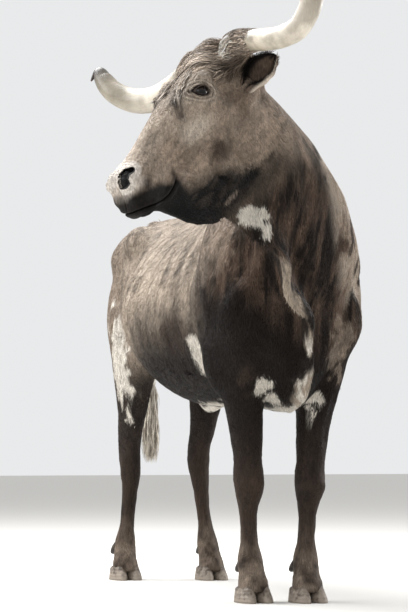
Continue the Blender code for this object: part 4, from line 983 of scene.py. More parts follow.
@dataclass
class Flesh:
    """The whole body as one surface: trunk, neck, head and legs, with muscles, folds and ribs."""

    voxel: float = 0.0072
    coat_depth: float = 0.0035
    trunk_triangles: int = 64000
    fold_rings: int = 120
    creases: tuple[Crease, ...] = (
        Crease(((0.13, 0.19, 1.27), (0.2, 0.2, 1.12), (0.225, 0.2, 0.95), (0.195, 0.18, 0.78)), 0.012, 0.024),
        Crease(((0.09, 0.0, 1.34), (0.155, -0.055, 1.22), (0.19, -0.115, 1.06), (0.15, -0.18, 0.92)), 0.013,
               0.022),
        Crease(((0.13, 0.05, 1.3), (0.185, 0.04, 1.18), (0.215, 0.01, 1.04), (0.215, -0.03, 0.92)), -0.008,
               0.02),
        Crease(((0.21, -0.06, 0.95), (0.17, -0.13, 0.86), (0.1, -0.165, 0.76)), 0.01, 0.018),
        Crease(((0.22, 0.04, 0.9), (0.205, 0.06, 0.8), (0.17, 0.05, 0.7)), 0.008, 0.016),
        Crease(((0.23, 0.11, 0.88), (0.2, 0.13, 0.78), (0.15, 0.11, 0.68)), 0.008, 0.016),
        Crease(((0.24, 0.78, 1.0), (0.215, 0.87, 0.86), (0.165, 0.94, 0.74)), -0.007, 0.016),
        Crease(((0.23, 0.9, 0.98), (0.2, 0.95, 0.84), (0.16, 0.985, 0.72)), 0.007, 0.016),
        Crease(((0.2, 1.02, 1.1), (0.225, 1.12, 0.96), (0.19, 1.19, 0.8)), 0.008, 0.018),
        Crease(((0.165, -0.075, 0.68), (0.14, -0.07, 0.58), (0.118, -0.05, 0.47)), 0.005, 0.01),
        Crease(((0.15, 0.02, 0.7), (0.135, 0.0, 0.6), (0.12, -0.01, 0.5)), 0.005, 0.01),
        Crease(((0.118, 0.0, 0.335), (0.118, 0.0, 0.24), (0.116, 0.0, 0.165)), 0.0045, 0.006),
        Crease(((0.135, 1.215, 0.38), (0.15, 1.205, 0.27), (0.16, 1.2, 0.17)), 0.0045, 0.006),
        Crease(((0.15, 1.235, 0.62), (0.15, 1.24, 0.54), (0.14, 1.245, 0.47)), 0.007, 0.01),
    )
    forms: list = field(default_factory=list)

    def egg(self, centre: tuple, radii: tuple, turn: tuple = (0, 0, 0), head: bool = False) -> None:
        """Adds an egg of flesh, in the head's frame where asked.

        Args:
            centre: Its middle.
            radii: Its half sizes.
            turn: Degrees about x, y and z.
            head: Whether the numbers are the head's.
        """
        bpy.ops.mesh.primitive_ico_sphere_add(subdivisions=4, radius=1.0)
        obj = bpy.context.object
        place = Matrix.Translation(centre)
        for axis, angle in zip("ZYX", reversed(turn)):
            place = place @ Matrix.Rotation(math.radians(angle), 4, axis)
        place = place @ Matrix.Diagonal((*radii, 1.0))
        obj.data.transform((HEAD if head else Matrix()) @ place)
        if head:
            obj.data.flip_normals()
        obj.select_set(False)
        self.forms.append(obj)

    def body(self, name: str, stations: list, rings: int, sides: int = 48) -> None:
        """Adds a form through stations of top, bottom, half width, belt, pinches and squareness.

        Args:
            name: The form's name.
            stations: Its stations.
            rings: How many rings it gets.
            sides: How many points a ring has.
        """
        keys = [[*(Vector(t) + Vector(b)) / 2, *t, *b, *rest, *[2.0] * (5 - len(rest))]
                for t, b, *rest in stations]
        rows = smooth_track(keys, rings)
        made = []
        for i, row in enumerate(rows):
            along = Vector(rows[min(i + 1, rings - 1)][:3]) - Vector(rows[max(i - 1, 0)][:3])
            top, bottom = Vector(row[3:6]), Vector(row[6:9])
            made.append(oval(top, bottom, along.cross(top - bottom).normalized(), *row[9:14], sides=sides))
        self.forms.append(add_object(name, loft(name, made)))

    def trunk(self) -> None:
        """Adds the trunk with its shoulders, hips and thighs."""
        outline = [
            (-0.218, 1.06, 0.83, 0.05, 0.5, 0.1, 0.1), (-0.195, 1.14, 0.73, 0.115, 0.5, 0.15, 0.3),
            (-0.115, 1.26, BRISKET + 0.02, 0.18, 0.5, 0.25, 0.45),
            (0.0, 1.325, BRISKET, 0.215, 0.5, 0.4, 0.42),
            (0.13, WITHERS, BRISKET + 0.012, 0.235, 0.48, 0.5, 0.32),
            (0.3, 1.332, 0.622, 0.262, 0.46, 0.44, 0.2),
            (0.5, 1.308, 0.628, 0.29, 0.44, 0.38, 0.12), (0.68, 1.303, 0.642, 0.298, 0.45, 0.32, 0.1),
            (0.84, 1.318, 0.682, 0.278, 0.48, 0.26, 0.14), (0.98, 1.338, 0.745, 0.232, 0.52, 0.16, 0.22),
            (1.13, 1.342, 0.8, 0.205, 0.55, 0.14, 0.25), (1.27, 1.318, 0.86, 0.165, 0.55, 0.15, 0.2),
            (1.345, 1.255, 0.93, 0.115, 0.5, 0.1, 0.1), (1.37, 1.19, 1.0, 0.06, 0.5, 0.0, 0.0),
        ]
        self.body("trunk", [((0, y, top), (0, y, low), *rest) for y, top, low, *rest in outline], 60)
        for s in (-1, 1):
            self.egg((s * 0.156, 0.05, 1.07), (0.092, 0.145, 0.24), (-14, s * -8, 0))
            self.egg((s * 0.15, -0.07, 0.9), (0.088, 0.12, 0.16), (20, 0, 0))
            self.egg((s * 0.16, 0.06, 0.8), (0.074, 0.135, 0.16), (-20, 0, 0))
            self.egg((s * 0.15, 0.96, 1.215), (0.076, 0.12, 0.088), (0, s * 25, 0))
            self.egg((s * 0.082, 1.305, 1.165), (0.038, 0.052, 0.05))
            self.egg((s * 0.118, 1.13, 1.185), (0.102, 0.175, 0.115))
            self.egg((s * 0.126, 1.165, 0.985), (0.094, 0.175, 0.235), (8, 0, 0))
            self.egg((s * 0.158, 1.01, 0.83), (0.055, 0.085, 0.14), (25, 0, 0))
        self.egg((0, 0.66, 0.645), (0.022, 0.12, 0.036))
        self.egg((0, -0.06, 0.675), (0.066, 0.15, 0.072), (-12, 0, 0))

    def neck(self) -> None:
        """Adds the neck, the throat and the dewlap's fold."""
        self.body("neck", [
            ((0, 0.2, 1.315), (0, 0.06, 0.76), 0.216, 0.5, 0.4, 0.3),
            ((0.0, 0.05, 1.35), (0, -0.15, 0.8), 0.235, 0.43, 0.63, 0.36),
            ((-0.004, -0.08, 1.385), (-0.02, -0.245, 0.91), 0.194, 0.45, 0.66, 0.44),
            ((-0.042, -0.2, 1.45), (-0.09, -0.325, 1.025), 0.142, 0.55, 0.44, 0.5),
            ((-0.13, -0.3, 1.52), (-0.2, -0.395, 1.12), 0.119, 0.58, 0.4, 0.56),
            ((-0.235, -0.372, 1.585), (-0.335, -0.44, 1.185), 0.102, 0.62, 0.35, 0.62),
            ((-0.32, -0.41, 1.615), (-0.44, -0.47, 1.205), 0.082, 0.64, 0.3, 0.6),
        ], 40)
        fold = [
            (on_head(0.52, -0.17), on_head(0.52, -0.214), 0.016),
            (on_head(0.462, -0.23), on_head(0.468, -0.31), 0.024),
            (on_head(0.395, -0.28), on_head(0.405, -0.366), 0.024),
            ((-0.375, -0.45, 1.3), (-0.392, -0.466, 1.168), 0.022),
            ((-0.26, -0.4, 1.23), (-0.262, -0.452, 1.1), 0.019),
            ((-0.15, -0.335, 1.12), (-0.148, -0.43, 0.99), 0.017),
            ((-0.068, -0.255, 1.01), (-0.06, -0.362, 0.88), 0.016),
            ((-0.02, -0.175, 0.92), (-0.016, -0.296, 0.795), 0.016),
            ((0.0, -0.12, 0.8), (0.0, -0.246, 0.705), 0.016),
            ((0.0, -0.07, 0.71), (0.0, -0.19, 0.626), 0.017),
            ((0.0, -0.01, 0.66), (0.0, -0.07, 0.59), 0.016),
        ]
        rows = smooth_track([[*r, *e, t] for r, e, t in fold], self.fold_rings)
        last = self.fold_rings - 1
        rings = []
        for i, row in enumerate(rows):
            root, edge = Vector(row[:3]), Vector(row[3:6])
            along = Vector(rows[min(i + 1, last)][:3]) - Vector(rows[max(i - 1, 0)][:3])
            side = along.cross(root - edge).normalized()
            share = i / last
            gain = math.sin(math.pi * min(1.0, max(0.0, (share - 0.22) / 0.7)))
            wave = math.sin(share * 31.0) * 0.013 * gain + math.sin(share * 17.0 + 1.0) * 0.009 * gain
            edge = edge + side * wave + (edge - root).normalized() * math.sin(share * 44.0) * 0.006 * gain
            ring = oval(root, edge, side, row[6], 0.5, 0.0, 0.25, 2.4, 20)
            rings.append([p + side * wave * 0.5 * (p - root).length / (edge - root).length for p in ring])
        self.forms.append(add_object("dewlap", loft("dewlap", rings)))

    def head(self) -> None:
        """Adds the skull with jaw and muzzle, cheeks, brows, lips and the bosses of ears and horns."""
        skull = [
            (-0.055, -0.05, -0.055, -0.16, 0.05, 0.5, 0.1, 0.1, 2.0),
            (-0.032, -0.014, -0.032, -0.21, 0.08, 0.6, 0.26, 0.25, 2.2),
            (0.01, 0.006, 0.01, -0.245, 0.093, 0.66, 0.36, 0.38, 2.2),
            (0.06, 0.01, 0.06, -0.295, 0.09, 0.69, 0.42, 0.42, 2.3),
            (0.11, 0.008, 0.11, -0.345, 0.092, 0.74, 0.38, 0.42, 2.5),
            (0.165, 0.004, 0.165, -0.372, 0.1, 0.78, 0.22, 0.42, 2.8),
            (0.215, 0.0, 0.215, -0.384, 0.106, 0.8, 0.08, 0.44, 2.8),
            (0.27, 0.0, 0.27, -0.388, 0.097, 0.78, 0.06, 0.46, 2.6),
            (0.326, -0.001, 0.33, -0.38, 0.08, 0.73, 0.12, 0.48, 2.5),
            (0.385, -0.005, 0.392, -0.35, 0.068, 0.68, 0.18, 0.44, 2.4),
            (0.435, -0.012, 0.45, -0.288, 0.063, 0.62, 0.2, 0.34, 2.3),
            (0.478, -0.018, 0.504, -0.214, 0.067, 0.58, 0.18, 0.26, 2.3),
            (0.51, -0.023, 0.552, -0.176, 0.072, 0.58, 0.14, 0.22, 2.4),
            (0.538, -0.028, 0.588, -0.16, 0.069, 0.58, 0.1, 0.2, 2.4),
            (0.562, -0.04, 0.608, -0.144, 0.056, 0.54, 0.08, 0.16, 2.3),
            (0.578, -0.066, 0.609, -0.126, 0.03, 0.5, 0.0, 0.0, 2.0),
        ]
        self.body("skull", [(on_head(x, top), on_head(u, low), *rest) for x, top, u, low, *rest in skull],
                  64, 56)
        for s in (-1, 1):
            rows = smooth_track(Horn(Side(s)).keys(), HORN_RINGS)[:BOSS_RINGS]
            rings = []
            for i, row in enumerate(rows):
                across, up = ring_axes(rows, i)
                swell = row[3] + 0.0075 * math.cos(0.5 * math.pi * i / BOSS_RINGS) ** 0.7
                swell = swell + 0.0012 * math.sin(i * 1.1)
                rings.append(oval(Vector(row[:3]) + up * swell, Vector(row[:3]) - up * swell, across, swell,
                                  sides=24))
            self.forms.append(add_object("horn_boss", loft("horn_boss", rings)))
            for at, radii in (
                ((0.155, -0.22, s * 0.054), (0.105, 0.1, 0.044)),
                ((0.186, -0.024, s * 0.074), (0.06, 0.03, 0.04)),
                ((0.212, -0.05, s * 0.074), (0.062, 0.05, 0.041)),
                ((0.315, -0.105, s * 0.052), (0.085, 0.02, 0.022)),
                ((0.026, -0.044, s * 0.098), (0.044, 0.04, 0.048)),
                ((0.086, -0.144, s * 0.084), (0.04, 0.042, 0.034)),
                ((0.548, -0.058, s * 0.038), (0.036, 0.034, 0.032)),
                ((0.54, -0.098, s * 0.038), (0.06, 0.028, 0.038)),
                ((0.556, -0.152, s * 0.024), (0.044, 0.021, 0.034)),
            ):
                self.egg(at, radii, head=True)

    def legs(self) -> None:
        """Adds the four legs down to inside the hooves."""
        fore = [
            (0.88, 0.15, -0.15, 0.095, 0.07), (0.77, 0.142, -0.13, 0.112, 0.073),
            (0.68, 0.13, -0.098, 0.108, 0.067),
            (0.6, 0.119, -0.07, 0.074, 0.059), (0.52, 0.11, -0.058, 0.052, 0.052),
            (0.44, 0.104, -0.055, 0.04, 0.0475),
            (0.385, 0.1, -0.06, 0.037, 0.051), (0.34, 0.098, -0.054, 0.036, 0.046),
            (0.3, 0.096, -0.036, 0.035, 0.034),
            (0.24, 0.093, -0.03, 0.034, 0.0285), (0.185, 0.09, -0.03, 0.037, 0.03),
            (0.148, 0.088, -0.035, 0.046, 0.04),
            (0.118, 0.087, -0.043, 0.047, 0.043), (0.092, 0.086, -0.053, 0.04, 0.042),
            (0.066, 0.085, -0.066, 0.036, 0.049),
            (0.03, 0.085, -0.074, 0.032, 0.052),
        ]
        hind = [
            (1.02, 0.135, 0.97, 1.335, 0.095), (0.9, 0.136, 0.945, 1.335, 0.09),
            (0.8, 0.14, 0.965, 1.315, 0.076),
            (0.7, 0.138, 1.02, 1.298, 0.059), (0.62, 0.134, 1.074, 1.285, 0.047),
            (0.545, 0.132, 1.122, 1.292, 0.041),
            (0.49, 0.126, 1.158, 1.304, 0.038), (0.435, 0.123, 1.176, 1.282, 0.041),
            (0.385, 0.123, 1.184, 1.256, 0.038),
            (0.33, 0.126, 1.186, 1.243, 0.031), (0.26, 0.131, 1.182, 1.238, 0.0275),
            (0.19, 0.138, 1.174, 1.237, 0.03),
            (0.148, 0.142, 1.166, 1.245, 0.039), (0.116, 0.145, 1.156, 1.245, 0.042),
            (0.088, 0.148, 1.144, 1.236, 0.042),
            (0.062, 0.15, 1.13, 1.232, 0.048), (0.03, 0.15, 1.122, 1.228, 0.05),
        ]
        for s in (-1, 1):
            stations = []
            for z, out, front, back, half in fore:
                step = -s * FORE_HOOF_STEP * min(1.0, max(0.0, (0.8 - z) / 0.6))
                x = s * (out - 0.085 + FORE_HOOF_SIDE) + FORE_LEAN * min(1.0, max(0.0, (0.75 - z) / 0.35))
                stations.append(((x, front + step, z), (x, back + step, z), half, 0.5, 0.06, 0.1))
            self.body("foreleg", stations, 72, 36)
            self.egg((s * 0.096 + FORE_LEAN, -0.038 - s * 0.022, 0.372), (0.045, 0.026, 0.042))
            stations = []
            for z, out, front, back, half in hind:
                step = -s * HIND_HOOF_STEP * min(1.0, max(0.0, (1.0 - z) / 0.85)) + STANCE - 1.19
                stations.append(((s * out, front + step, z), (s * out, back + step, z), half, 0.5, 0.08,
                                 0.16))
            self.body("hindleg", stations, 80, 36)

    def join(self) -> Piece:
        """Joins all forms and remeshes them as one surface.

        Returns:
            The hide.
        """
        deselect()
        for obj in self.forms:
            obj.select_set(True)
        bpy.context.view_layer.objects.active = self.forms[0]
        bpy.ops.object.join()
        hide = bpy.context.object
        hide.name = hide.data.name = "hide"
        step = hide.modifiers.new("one_surface", "REMESH")
        step.mode = "VOXEL"
        step.voxel_size = self.voxel
        apply_all(hide)
        return hide

    def soft(self, points: Rows) -> Rows:
        """Says how strongly each point is smoothed: the trunk fully, head, feet and dewlap hardly.

        Args:
            points: Positions before the shift.

        Returns:
            One share a point.
        """
        x, y, z = points.T
        share = np.clip((z - 0.56) / 0.18, 0.04, 1.0)
        share *= np.where((abs(x) < 0.035) & (y < -0.02) & (z < 1.0), 0.12, 1.0)
        fold, _ = polyline_distance(points, np.array(MARKINGS.dewlap))
        share *= 0.08 + 0.92 * fade(fold, 0.06, 0.12)
        local = to_head(points)
        head = np.clip((local[:, 0] + 0.05) / 0.1, 0, 1) * np.clip((local[:, 1] + 0.44) / 0.06, 0, 1)
        head *= (local[:, 0] < 0.66) & (local[:, 1] < 0.15)
        front = np.clip((local[:, 0] - 0.38) / 0.1, 0, 1)
        return share * (1 - head) + head * (0.2 - 0.15 * front)

    def swell(self, points: Rows, centre: tuple, radii: tuple, push: Rows) -> Rows:
        """Moves points near a centre along a push, fading to nothing at the radii."""
        reach = np.clip(1 - np.sum(((points - np.array(centre)) / np.array(radii)) ** 2, axis=1), 0, 1)
        return points + (reach * reach)[:, None] * push

    def sculpt_trunk(self, hide: Piece) -> None:
        """Presses in ribs, flank hollows, the shoulder's edge, neck folds and the veins of the belly.

        Args:
            hide: The skin.
        """
        points, normals = points_of(hide), normals_of(hide)
        x, y, z = points.T
        ribs = np.clip((y - 0.24) / 0.12, 0, 1) * np.clip((0.86 - y) / 0.1, 0, 1)
        ribs *= np.clip((z - 0.72) / 0.12, 0, 1) * np.clip((1.24 - z) / 0.12, 0, 1) * (abs(x) > 0.12)
        wave = np.sin((y + 0.16 * (1.0 - z)) * 2 * math.pi / 0.082 + 0.9 * np.sin(y * 17.0))
        points = points + normals * (0.0042 * ribs * wave)[:, None]
        folded = np.stack([abs(x), y, z], 1)
        points = points + normals * sum(crease.press(folded) for crease in self.creases)[:, None]
        tight = fade(z, 0.045, 0.07) * fade(0.15 - z, 0.0, 0.02)
        waves = np.sin(z * 2 * math.pi / 0.016 + 2.5 * noise(points, 0.03, 22))
        points = points + normals * (0.0016 * tight * waves)[:, None]
        lumps = noise(points, 0.03, 23) * fade(0.62 - z, 0.0, 0.1) * fade(z, 0.12, 0.2)
        points = points + normals * (0.002 * lumps)[:, None]
        loose = fade(-y, -0.02, 0.1) * fade(z, 0.8, 0.95) * fade(to_head(points)[:, 1] + 0.44, 0.05, -0.05)
        folds = noise(np.stack([x * 0.5, y * 1.0 + 0.5 * z, z * 0.25], 1), 0.045, 21)
        points = points + normals * (0.0085 * loose * folds)[:, None]
        for s in (-1, 1):
            out = np.array((s, 0, 0))
            points = self.swell(points, (s * 0.27, 0.88, 1.11), (0.16, 0.14, 0.16), out * -0.02)
            points = self.swell(points, (s * 0.24, 0.235, 1.02), (0.1, 0.05, 0.26), out * -0.014)
            points = self.swell(points, (s * 0.18, 1.21, 1.27), (0.08, 0.1, 0.07), out * -0.016)
            points = self.swell(points, (s * 0.21, 0.19, 0.7), (0.1, 0.07, 0.09), out * -0.014)
        set_points(hide, points)

    def pick(self, kind: str, items: Items, mask: Rows) -> None:
        """Opens the active mesh for editing with only some vertices or faces selected.

        Args:
            kind: VERT or FACE.
            items: All the vertices or faces.
            mask: Which of them.
        """
        bpy.ops.object.mode_set(mode="EDIT")
        bpy.ops.mesh.select_mode(type=kind)
        bpy.ops.mesh.select_all(action="DESELECT")
        bpy.ops.object.mode_set(mode="OBJECT")
        items.foreach_set("select", mask)
        bpy.ops.object.mode_set(mode="EDIT")

    def refine(self, hide: Piece, near: Rows) -> None:
        """Splits the faces whose corners are all picked, once.

        Args:
            hide: The skin.
            near: A mask over its vertices.
        """
        use(hide)
        self.pick("VERT", hide.data.vertices, near)
        bpy.ops.mesh.select_mode(type="FACE")
        bpy.ops.mesh.subdivide(number_cuts=1, smoothness=0.0)
        bpy.ops.object.mode_set(mode="OBJECT")

    def thin(self, hide: Piece) -> None:
        """Brings the trunk and legs down to fewer triangles, the head left as it is."""
        use(hide)
        for _ in range(4):
            local = to_head(read_rows(hide.data.polygons, "center"))
            mask = ~((local[:, 0] > -0.08) & (local[:, 0] < 0.7) & (local[:, 1] > -0.42)
                     & (local[:, 1] < 0.16))
            count = int(mask.sum())
            if count <= self.trunk_triangles * 1.03:
                break
            self.pick("FACE", hide.data.polygons, mask)
            bpy.ops.mesh.quads_convert_to_tris()
            bpy.ops.mesh.decimate(ratio=max(self.trunk_triangles / max(2 * count, 1), 0.1))
            bpy.ops.object.mode_set(mode="OBJECT")

    def build(self) -> Piece:
        """Builds the hide before the shift, with all its forms.

        Returns:
            The hide, with no material yet.
        """
        deselect()
        self.trunk()
        self.neck()
        self.head()
        self.legs()
        hide = self.join()
        relax(hide, 5)
        relax(hide, 44, self.soft(points_of(hide)))
        self.sculpt_trunk(hide)
        relax(hide, 2)
        face = Face()
        for reach in (1.0, 0.55, 0.25):
            self.refine(hide, face.near(to_head(points_of(hide)), reach))
            relax(hide, 2, face.near(to_head(points_of(hide)), reach).astype(float) * 0.6)
        face.sculpt(hide)
        points = points_of(hide)
        local = to_head(points)
        bare = fade(local[:, 0], 0.4, 0.52) * (abs(local[:, 1]) < 0.25)
        depth = self.coat_depth * (0.25 + 0.75 * fade(-local[:, 0], -0.1, 0.12)) * (1 - 0.8 * bare)
        depth *= 0.45 + 0.55 * fade(points[:, 2], 0.3, 0.75)
        set_points(hide, points - normals_of(hide) * depth[:, None])
        self.thin(hide)
        return hide


@dataclass(frozen=True)
class Face:
    """The fine forms of the face: orbits, lids, nostrils, lips and the wrinkles round them."""

    lid: float = 0.0032
    slit: float = 0.0265  # half the length of the opening between the lids
    upper: float = 0.0158
    lower: float = 0.0115
    creases: tuple[Crease, ...] = (
        Crease(((0.13, -0.02, 0.09), (0.15, -0.06, 0.105), (0.15, -0.11, 0.105)), 0.007, 0.015),
        Crease(((0.245, -0.112, 0.08), (0.34, -0.112, 0.07), (0.43, -0.095, 0.064)), -0.005, 0.013),
        Crease(((0.26, -0.14, 0.09), (0.35, -0.142, 0.078), (0.42, -0.128, 0.068)), 0.004, 0.01),
        Crease(((0.3, -0.16, 0.085), (0.335, -0.24, 0.07), (0.31, -0.32, 0.05)), 0.0055, 0.011),
        Crease(((0.23, -0.165, 0.095), (0.25, -0.25, 0.08), (0.235, -0.33, 0.06)), 0.0035, 0.009),
        Crease(((0.54, -0.052, 0.06), (0.5, -0.075, 0.066), (0.455, -0.11, 0.066)), 0.0045, 0.008),
        Crease(((0.575, -0.088, 0.055), (0.54, -0.1, 0.068), (0.5, -0.12, 0.07)), 0.003, 0.007),
        Crease(((0.448, -0.15, 0.064), (0.42, -0.182, 0.062), (0.4, -0.215, 0.054)), 0.005, 0.0065),
        Crease(((0.425, -0.14, 0.066), (0.398, -0.17, 0.064), (0.378, -0.205, 0.058)), 0.0035, 0.006),
        Crease(((0.405, -0.215, 0.055), (0.36, -0.27, 0.06), (0.3, -0.3, 0.07)), -0.004, 0.011),
        Crease(((0.34, -0.335, 0.04), (0.29, -0.345, 0.06), (0.235, -0.34, 0.07)), 0.006, 0.008),
        Crease(((0.17, -0.01, 0.03), (0.205, 0.0, 0.03), (0.24, -0.002, 0.04)), 0.003, 0.006),
        Crease(((0.15, -0.006, 0.06), (0.19, 0.002, 0.052), (0.235, -0.004, 0.062)), 0.0024, 0.005),
    )
    mouth: tuple = (
        (0.428, -0.143), (0.445, -0.154), (0.473, -0.165), (0.5, -0.17), (0.522, -0.168), (0.545, -0.158),
        (0.571, -0.144),
        (0.6, -0.131), (0.65, -0.124),
    )
    nostril: tuple = ((0.579, -0.038, 0.042), (0.572, -0.031, 0.047), (0.556, -0.027, 0.053),
                      (0.538, -0.034, 0.056))
    nose_facing: tuple = (0.495, 0.295, 0.817)

    def eye_parts(self, local: Rows, s: int) -> tuple:
        """Measures points against one eye.

        Args:
            local: Points in the head's frame.
            s: 1 for the left eye, -1 for the right.

        Returns:
            Along the slit, across it, outward, and the distance outside the opening, negative inside.
        """
        out = s * local[:, 2] - EYE_AT[2]
        du = local[:, 0] - EYE_AT[0] - LID_SLANT[0] * out
        dv = local[:, 1] - EYE_AT[1] - LID_SLANT[1] * out
        a = du * math.cos(EYE_TILT) + dv * math.sin(EYE_TILT)
        b = -du * math.sin(EYE_TILT) + dv * math.cos(EYE_TILT)
        arch = np.clip(1 - (a / self.slit) ** 2, 0, 1)
        bound = np.where(b > 0, self.upper * arch ** 0.7, self.lower * arch ** 0.85)
        gap = np.hypot(np.maximum(abs(a) - self.slit, 0), np.maximum(abs(b) - bound, 0))
        inside = np.maximum(abs(b) - bound, abs(a) - self.slit)
        return a, b, out, np.where(gap > 0, gap * (0.75 + 0.25 * np.clip(arch, 0, 1)), inside)

    def eye_gap(self, local: Rows, middle: float) -> Rows:
        """Gives the distance outside the nearer eye's opening, negative inside.

        Args:
            local: Points in the head's frame.
            middle: Half the width of the strip down the face that belongs to neither eye.

        Returns:
            One distance a point.
        """
        left, right = (self.eye_parts(local, s)[3] + FAR * (s * local[:, 2] < middle) for s in (1, -1))
        return np.minimum(left, right)

    def mouth_gap(self, local: Rows) -> Rows:
        """Gives the height above the line of the mouth, as if it ran level round the muzzle."""
        along, line = zip(*self.mouth)
        return local[:, 1] - np.interp(local[:, 0], along, line)

    def nostril_gap(self, local: Rows) -> Rows:
        """Gives the distance outside the rim of the nearer nostril, negative inside.

        Args:
            local: Points in the head's frame.

        Returns:
            One distance a point.
        """
        far = local[:, 2] < 0
        folded = np.stack([local[:, 0] + 0.022 * far, local[:, 1], abs(local[:, 2]) - 0.02 * far], 1)
        line, facing = np.array(self.nostril), np.array(self.nose_facing)
        height = (folded - line[1]) @ facing
        flat = folded - height[:, None] * facing
        gap, place = polyline_distance(flat, line - ((line - line[1]) @ facing)[:, None] * facing)
        return gap - (0.0212 - 0.014 * place ** 0.7) + FAR * (abs(height + 0.026) > 0.06)

    def near(self, local: Rows, reach: float) -> Rows:
        """Picks what one step of refining splits.

        Args:
            local: Points in the head's frame.
            reach: 1.0 for the face, 0.55 round eyes and muzzle, 0.25 along lids, nostrils and mouth.

        Returns:
            A mask.
        """
        u, v, w = local.T
        if reach >= 1.0:
            return (u > 0.09) & (u < 0.66) & (v > -0.27) & (v < 0.1) & (abs(w) < 0.16)
        gap = self.eye_gap(local, 0.05)
        mouth = abs(self.mouth_gap(local)) + FAR * ((u < 0.43) | (u > 0.66) | (v < -0.22) | (v > -0.09))
        hole = abs(self.nostril_gap(local))
        if reach > 0.3:
            return (gap < 0.026) | (mouth < 0.018) | (hole < 0.016)
        return (abs(gap) < 0.0045) | (mouth < 0.0045) | (hole < 0.004)

    def lid_rim(self, s: int) -> Piece:
        """Builds the smooth wet margin of both lids of one eye, to be joined to the hide.

        Args:
            s: 1 for the left eye, -1 for the right.

        Returns:
            The rim.
        """
        spots = []
        for k in range(97):
            turn = 2 * math.pi * k / 96
            a = self.slit * math.cos(turn)
            height = self.upper if math.sin(turn) > 0 else -self.lower
            b = height * max(0.0, 1 - (a / self.slit) ** 2) ** (0.7 if height > 0 else 0.85)
            u = a * math.cos(EYE_TILT) - b * math.sin(EYE_TILT)
            v = a * math.sin(EYE_TILT) + b * math.cos(EYE_TILT)
            ball = EYE_RADIUS + 0.001
            rise = 0.0
            for _ in range(4):
                at_u, at_v = u + LID_SLANT[0] * rise, v + LID_SLANT[1] * rise
                rise = math.sqrt(max(ball * ball - at_u * at_u - at_v * at_v, 0.0))
            at_u, at_v = u + LID_SLANT[0] * rise, v + LID_SLANT[1] * rise
            spots.append(Vector((EYE_AT[0] + at_u, EYE_AT[1] + at_v, s * (EYE_AT[2] + rise))))
        rings = []
        for k, spot in enumerate(spots):
            along = (spots[(k + 1) % 96] - spots[(k - 1) % 96]).normalized()
            out = (spot - Vector((EYE_AT[0], EYE_AT[1], s * EYE_AT[2]))).normalized()
            across = along.cross(out).normalized()
            rings.append([HEAD @ (spot + (out * math.sin(t) * 1.1 + across * math.cos(t) * 0.9) * 0.0019)
                          for t in (2 * math.pi * j / 10 for j in range(10))])
        return add_object("lid_rim", loft("lid_rim", rings))

    def sculpt(self, hide: Piece) -> None:
        """Presses the lids, nostrils, lips and wrinkles into the refined skin.

        Args:
            hide: The refined skin.
        """
        points, normals = points_of(hide), normals_of(hide)
        local = to_head(points)
        ways = normals @ HEAD_AXES
        u, v, w = local.T
        on = (u > 0.0) & (u < 0.68) & (v > -0.3) & (v < 0.12)
        # lips and mouth
        rise = self.mouth_gap(local)
        reach = fade(u, 0.43, 0.462) * on * (v < -0.085) * (v > -0.235)
        push = -0.0085 * ridge(rise, 0.0021) + 0.003 * ridge(rise, 0.0075, 0.01)
        push += 0.0022 * ridge(rise, 0.0065, -0.009)
        crease = ridge((u - 0.44) * 0.9 - (v + 0.15) * 0.4, 0.0035)
        crease = crease * fade(abs(v + 0.15), 0.035, 0.01)
        push = push * reach - 0.0035 * crease * on * (abs(u - 0.44) < 0.05)
        folds = noise(np.stack([u * 1.6 + v, v * 0.6, w], 1), 0.012, 31)
        corner = fade(np.hypot(u - 0.44, v + 0.155), 0.075, 0.02)
        push += 0.0018 * corner * folds * on
        # groove down the middle of the nose
        groove = ridge(w, 0.0022) * fade(u, 0.565, 0.585)
        groove = groove * fade(-v, 0.07, 0.085) * fade(v, -0.125, -0.112)
        push -= 0.003 * groove * on
        # wrinkles over the nostril, the brow's crease, and a vein down the face
        bridge = fade(u, 0.44, 0.5) * fade(-v, 0.16, 0.05) * fade(0.585 - u, 0.0, 0.02)
        push += 0.0008 * bridge * np.sin(u * 2 * math.pi / 0.011 + 5 * noise(local, 0.03, 32)) * on
        crease, _ = polyline_distance(one_side(local, 2), np.array(BROW_CREASE))
        push += (-0.005 * ridge(crease, 0.0055) + 0.0022 * ridge(crease, 0.007, 0.014)) * on
        flow = noise(np.stack([u * 0.9, v * 0.35, w], 1), 0.016, 33)
        push += 0.0016 * flow * fade(-v, 0.1, 0.22) * fade(u, 0.16, 0.3) * on
        furrows = 0.0012 * noise(np.stack([u * 0.3, v, w * 1.2], 1), 0.009, 34)
        push += furrows * fade(v, -0.06, -0.01) * fade(0.36 - u, 0.0, 0.1) * on
        vein = abs(v + 0.085 + 0.02 * np.sin(u * 22.0)) * fade(u, 0.24, 0.28)
        push += 0.0016 * ridge(vein, 0.0045) * fade(u, 0.26, 0.31) * fade(0.47 - u, 0.0, 0.05) * on
        folded = one_side(local, 2)
        push += 1.6 * sum(crease.press(folded) for crease in self.creases) * on
        local = local + ways * push[:, None]
        # nostrils
        gap = self.nostril_gap(local)
        side = np.sign(w)
        into = -np.stack([np.full(len(w), self.nose_facing[0]), np.full(len(w), self.nose_facing[1]),
                          self.nose_facing[2] * side], 1)
        depth = 0.02 * fade(-gap, 0.0, 0.0045) * on
        local = local + into * depth[:, None]
        local = local + ways * (0.003 * ridge(gap, 0.0045, 0.0035) * (gap > 0) * on)[:, None]
